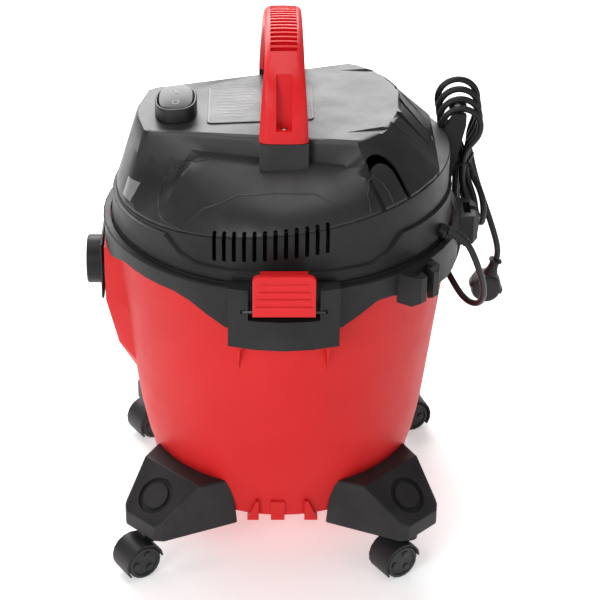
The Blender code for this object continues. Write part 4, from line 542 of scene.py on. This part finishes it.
def make_relief(route):
    """The tapered, ribbed sleeve where the cord leaves the head."""
    rings = []
    for k in range(RELIEF_RINGS + 1):
        at = RELIEF_FROM + RELIEF_LONG * k / RELIEF_RINGS
        index = min(int(at / CORD_STEP), len(route) - 2)
        spot = route[index].lerp(route[index + 1], at / CORD_STEP - index)
        ahead = (route[index + 1] - route[index]).normalized()
        if index > 0:
            before = (route[index] - route[index - 1]).normalized()
            ahead = before.lerp(ahead, 0.5 + 0.5 * (at / CORD_STEP - index)).normalized()
        across = ahead.cross(Vector((0, 0, 1))).normalized()
        over = across.cross(ahead).normalized()
        radius = RELIEF_R - RELIEF_TAPER * k / RELIEF_RINGS + (RELIEF_RIB if k % 4 in (1, 2) else 0.0)
        rings.append([spot + (across * c + over * s) * radius for c, s in circle(RELIEF_SIDES)])
    verts, faces = swept(rings)
    return place_mesh("cord_relief", verts, faces, "plug_rubber", "head")


def make_tie():
    """A wire tie wound round the bundle, its two ends twisted together at the front."""
    across = RUN_HALF + CORD_R + TIE_CLEAR
    through = (HANK_LAYERS - 1) / 2 * LAYER_PITCH + CORD_R + TIE_CLEAR
    loop = []
    for i, (c, s) in enumerate(circle(TIE_POINTS)):
        x = math.copysign(abs(c) ** TIE_SQUARE, c) * across
        y = math.copysign(abs(s) ** TIE_SQUARE, s) * through
        loop.append(hank_point(x, y, TIE_UP + TIE_WAVE * math.sin(3 * (math.tau * i / TIE_POINTS))))
    rings = []
    for i in range(TIE_POINTS):
        ahead = (loop[(i + 1) % TIE_POINTS] - loop[i - 1]).normalized()
        out = ahead.cross(Vector((0, 0, 1))).normalized()
        up = out.cross(ahead)
        rings.append([loop[i] + out * c * TIE_THICK + up * s * TIE_WIDE for c, s in circle(TIE_SIDES)])
    verts, faces = swept(rings, closed=True)
    knot = hank_point(across + KNOT_CLEAR, -0.5 * through, TIE_UP)
    down = Vector(END_AHEAD).normalized()
    side = down.cross(Vector((0, 0, 1))).normalized()
    over = side.cross(down)
    for strand in (0.0, math.pi):
        rings = []
        for k in range(END_STEPS + 1):
            t = k / END_STEPS
            turn = strand + t * END_TURN
            spread = END_APART + END_SPLAY * smooth_step((t - 0.75) / 0.25)
            spot = knot + down * (END_LONG * t) + (side * math.cos(turn) + over * math.sin(turn)) * spread
            rings.append([spot + (side * c + over * s) * END_R for c, s in circle(END_SIDES)])
        more, cells = swept(rings)
        faces += [tuple(v + len(verts) for v in cell) for cell in cells]
        verts += more
    tie = place_mesh("bundle_tie", verts, faces, "plug_rubber", "head")
    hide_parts("cord_tie")
    return tie


# ---------------------------------------------------------------- small detail
def deck_point(x, y, rise=0.0):
    """A point on the sloping deck, or so far above it."""
    return Vector((x, y, DECK_Z + DECK_SLOPE * x + rise))


def slab(outline, low, high):
    """A thin plate on the deck between two heights, from its outline."""
    return swept([[deck_point(x, y, rise) for x, y in outline] for rise in (low, high)])


def gather(parts):
    """One mesh from several bodies."""
    verts, faces = [], []
    for more, cells in parts:
        faces += [tuple(v + len(verts) for v in cell) for cell in cells]
        verts += more
    return verts, faces


def make_label_print():
    """The label's pale outline and plain bars that stand for lines of print."""
    low, high = LABEL_TOP, LABEL_TOP + PRINT_RISE
    (x0, x1), half = LABEL_X, LABEL_HALF
    bars = [(x0, x1, half - PRINT_LINE, half), (x0, x1, -half, PRINT_LINE - half),
            (x0, x0 + PRINT_LINE, -half, half), (x1 - PRINT_LINE, x1, -half, half)]
    for row in range(PRINT_ROWS):
        y = PRINT_FIRST - PRINT_PITCH * row
        for column in range(PRINT_COLUMNS):
            start = x0 + PRINT_MARGIN + PRINT_COLUMN * column
            ragged = PRINT_SHORTER * ((row * 5 + column * 3) % 4) / 2
            bars.append((start, start + PRINT_LONG - ragged, y, y + PRINT_HIGH))
    boxes = [slab([(a, c), (b, c), (b, d), (a, d)], low, high) for a, b, c, d in bars]
    verts, faces = gather(boxes)
    place_mesh("label_print", verts, faces, "plate_print", "head", smooth=False)


def make_switch_marks():
    """A dash on the raised half of the rocker and a small oval on the other."""
    def on_rocker(x, y, rise):
        along = SWITCH_AT[0] + x
        return Vector((along, SWITCH_AT[1] + y, ROCKER_TOP + DECK_SLOPE * along + ROCKER_TILT * y + rise))

    dash = [(-DASH_HALF, DASH_FROM), (DASH_HALF, DASH_FROM), (DASH_HALF, DASH_TO), (-DASH_HALF, DASH_TO)]
    parts = [swept([[on_rocker(x, y, rise) for x, y in dash] for rise in (-MARK_HALF, MARK_HALF)])]
    section = ((OVAL_INNER, -MARK_HALF), (OVAL_OUTER, -MARK_HALF),
               (OVAL_OUTER, MARK_HALF), (OVAL_INNER, MARK_HALF))
    rings = [[on_rocker(r * c, OVAL_Y + r * s, rise) for r, rise in section] for c, s in circle(24)]
    parts.append(swept(rings, closed=True))
    verts, faces = gather(parts)
    place_mesh("switch_marks", verts, faces, "plate_print", "switch_rocker", smooth=False)


def cover_spot(tree, degrees, z):
    """Where a level ray towards the axis meets the head cover, and the surface's normal there."""
    out = Vector((math.cos(math.radians(degrees)), math.sin(math.radians(degrees)), 0))
    spot, normal, _, _ = tree.ray_cast(out * OUTSIDE + Vector((0, 0, z)), -out)
    return spot, normal


def bead(tree, route, radius):
    """A fine raised line that follows the cover through (degrees, height) points."""
    spots = []
    for (a0, z0), (a1, z1) in zip(route, route[1:]):
        spots += [cover_spot(tree, a0 + (a1 - a0) * i / BEAD_STEPS, z0 + (z1 - z0) * i / BEAD_STEPS)
                  for i in range(BEAD_STEPS)]
    spots.append(cover_spot(tree, *route[-1]))
    spots = [pair for pair in spots if pair[0] is not None]
    rings = []
    for k, (spot, normal) in enumerate(spots):
        ahead = (spots[min(k + 1, len(spots) - 1)][0] - spots[max(k - 1, 0)][0]).normalized()
        across = ahead.cross(normal).normalized()
        rings.append([spot + (across * c * BEAD_FLATTEN + normal * s) * radius for c, s in circle(BEAD_SIDES)])
    return swept(rings)


def make_cover_lines(tree):
    """The moulded edge of each belly, the line across it, and the rim inside each arch."""
    parts = []
    for side in (1, -1):
        for route, radius in COVER_LINES:
            parts.append(bead(tree, [(side * degrees, z) for degrees, z in route], radius))
    verts, faces = gather(parts)
    place_mesh("cover_lines", verts, faces, "cover_black", "head")


def make_badge(tree):
    """A plain silver badge on the left of the front flank, with nothing on it."""
    (a0, a1), (z0, z1) = BADGE
    wide, high = BADGE_CELLS
    grid = [[cover_spot(tree, a0 + (a1 - a0) * i / wide, z0 + (z1 - z0) * j / high) for i in range(wide + 1)]
            for j in range(high + 1)]
    verts = [spot + normal * rise for rise in BADGE_RISES for row in grid for spot, normal in row]
    across = wide + 1
    sheet = across * (high + 1)
    faces = []
    for layer in (0, sheet):
        for j in range(high):
            for i in range(wide):
                k = layer + across * j + i
                cell = (k, k + 1, k + across + 1, k + across)
                faces.append(cell if layer else cell[::-1])
    edge = list(range(across)) + [across * j + wide for j in range(1, high + 1)]
    edge += [across * high + i for i in range(wide - 1, -1, -1)] + [across * j for j in range(high - 1, 0, -1)]
    for a, b in zip(edge, edge[1:] + edge[:1]):
        faces.append((a, b, b + sheet, a + sheet))
    place_mesh("blank_badge", verts, faces, "badge_silver", "head")


def make_wheel_lobes():
    """A raised three-lobed hub on the outside of each wheel."""
    for corner, degrees in CASTER_TURNS.items():
        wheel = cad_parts["wheel_" + corner]
        points = [wheel.matrix_world @ v.co for v in wheel.data.vertices]
        centre = sum(points, Vector()) / len(points)
        axle = Vector((-math.sin(math.radians(degrees)), math.cos(math.radians(degrees)), 0))
        side = Vector((0, 0, 1))
        ahead = axle.cross(side)
        parts = []
        for face in (-1, 1):
            for lobe in range(LOBES):
                middle = math.tau * lobe / LOBES + LOBE_TURN
                rings = []
                for depth, inset in LOBE_LAYERS:
                    ring = []
                    for c, s in circle(LOBE_SIDES):
                        u = LOBE_OUT * math.cos(middle) + (LOBE_R - inset) * c
                        v = LOBE_OUT * math.sin(middle) + (LOBE_R - inset) * s
                        ring.append(centre + axle * face * depth + side * u + ahead * v)
                    rings.append(ring)
                parts.append(swept(rings))
        verts, faces = gather(parts)
        place_mesh("wheel_lobes_" + corner, verts, faces, "wheel_black", "wheel_" + corner)


stand_camera()
power_cord, cord_route, cord_length = run_cord()
relief = make_relief(cord_route)
tie = make_tie()
dress_nodes()
make_label_print()
make_switch_marks()
make_wheel_lobes()
cover_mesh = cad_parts["head_cover"].data
cover_tree = BVHTree.FromPolygons([v.co for v in cover_mesh.vertices],
                                  [face.vertices for face in cover_mesh.polygons])
make_cover_lines(cover_tree)
make_badge(cover_tree)
light_studio()
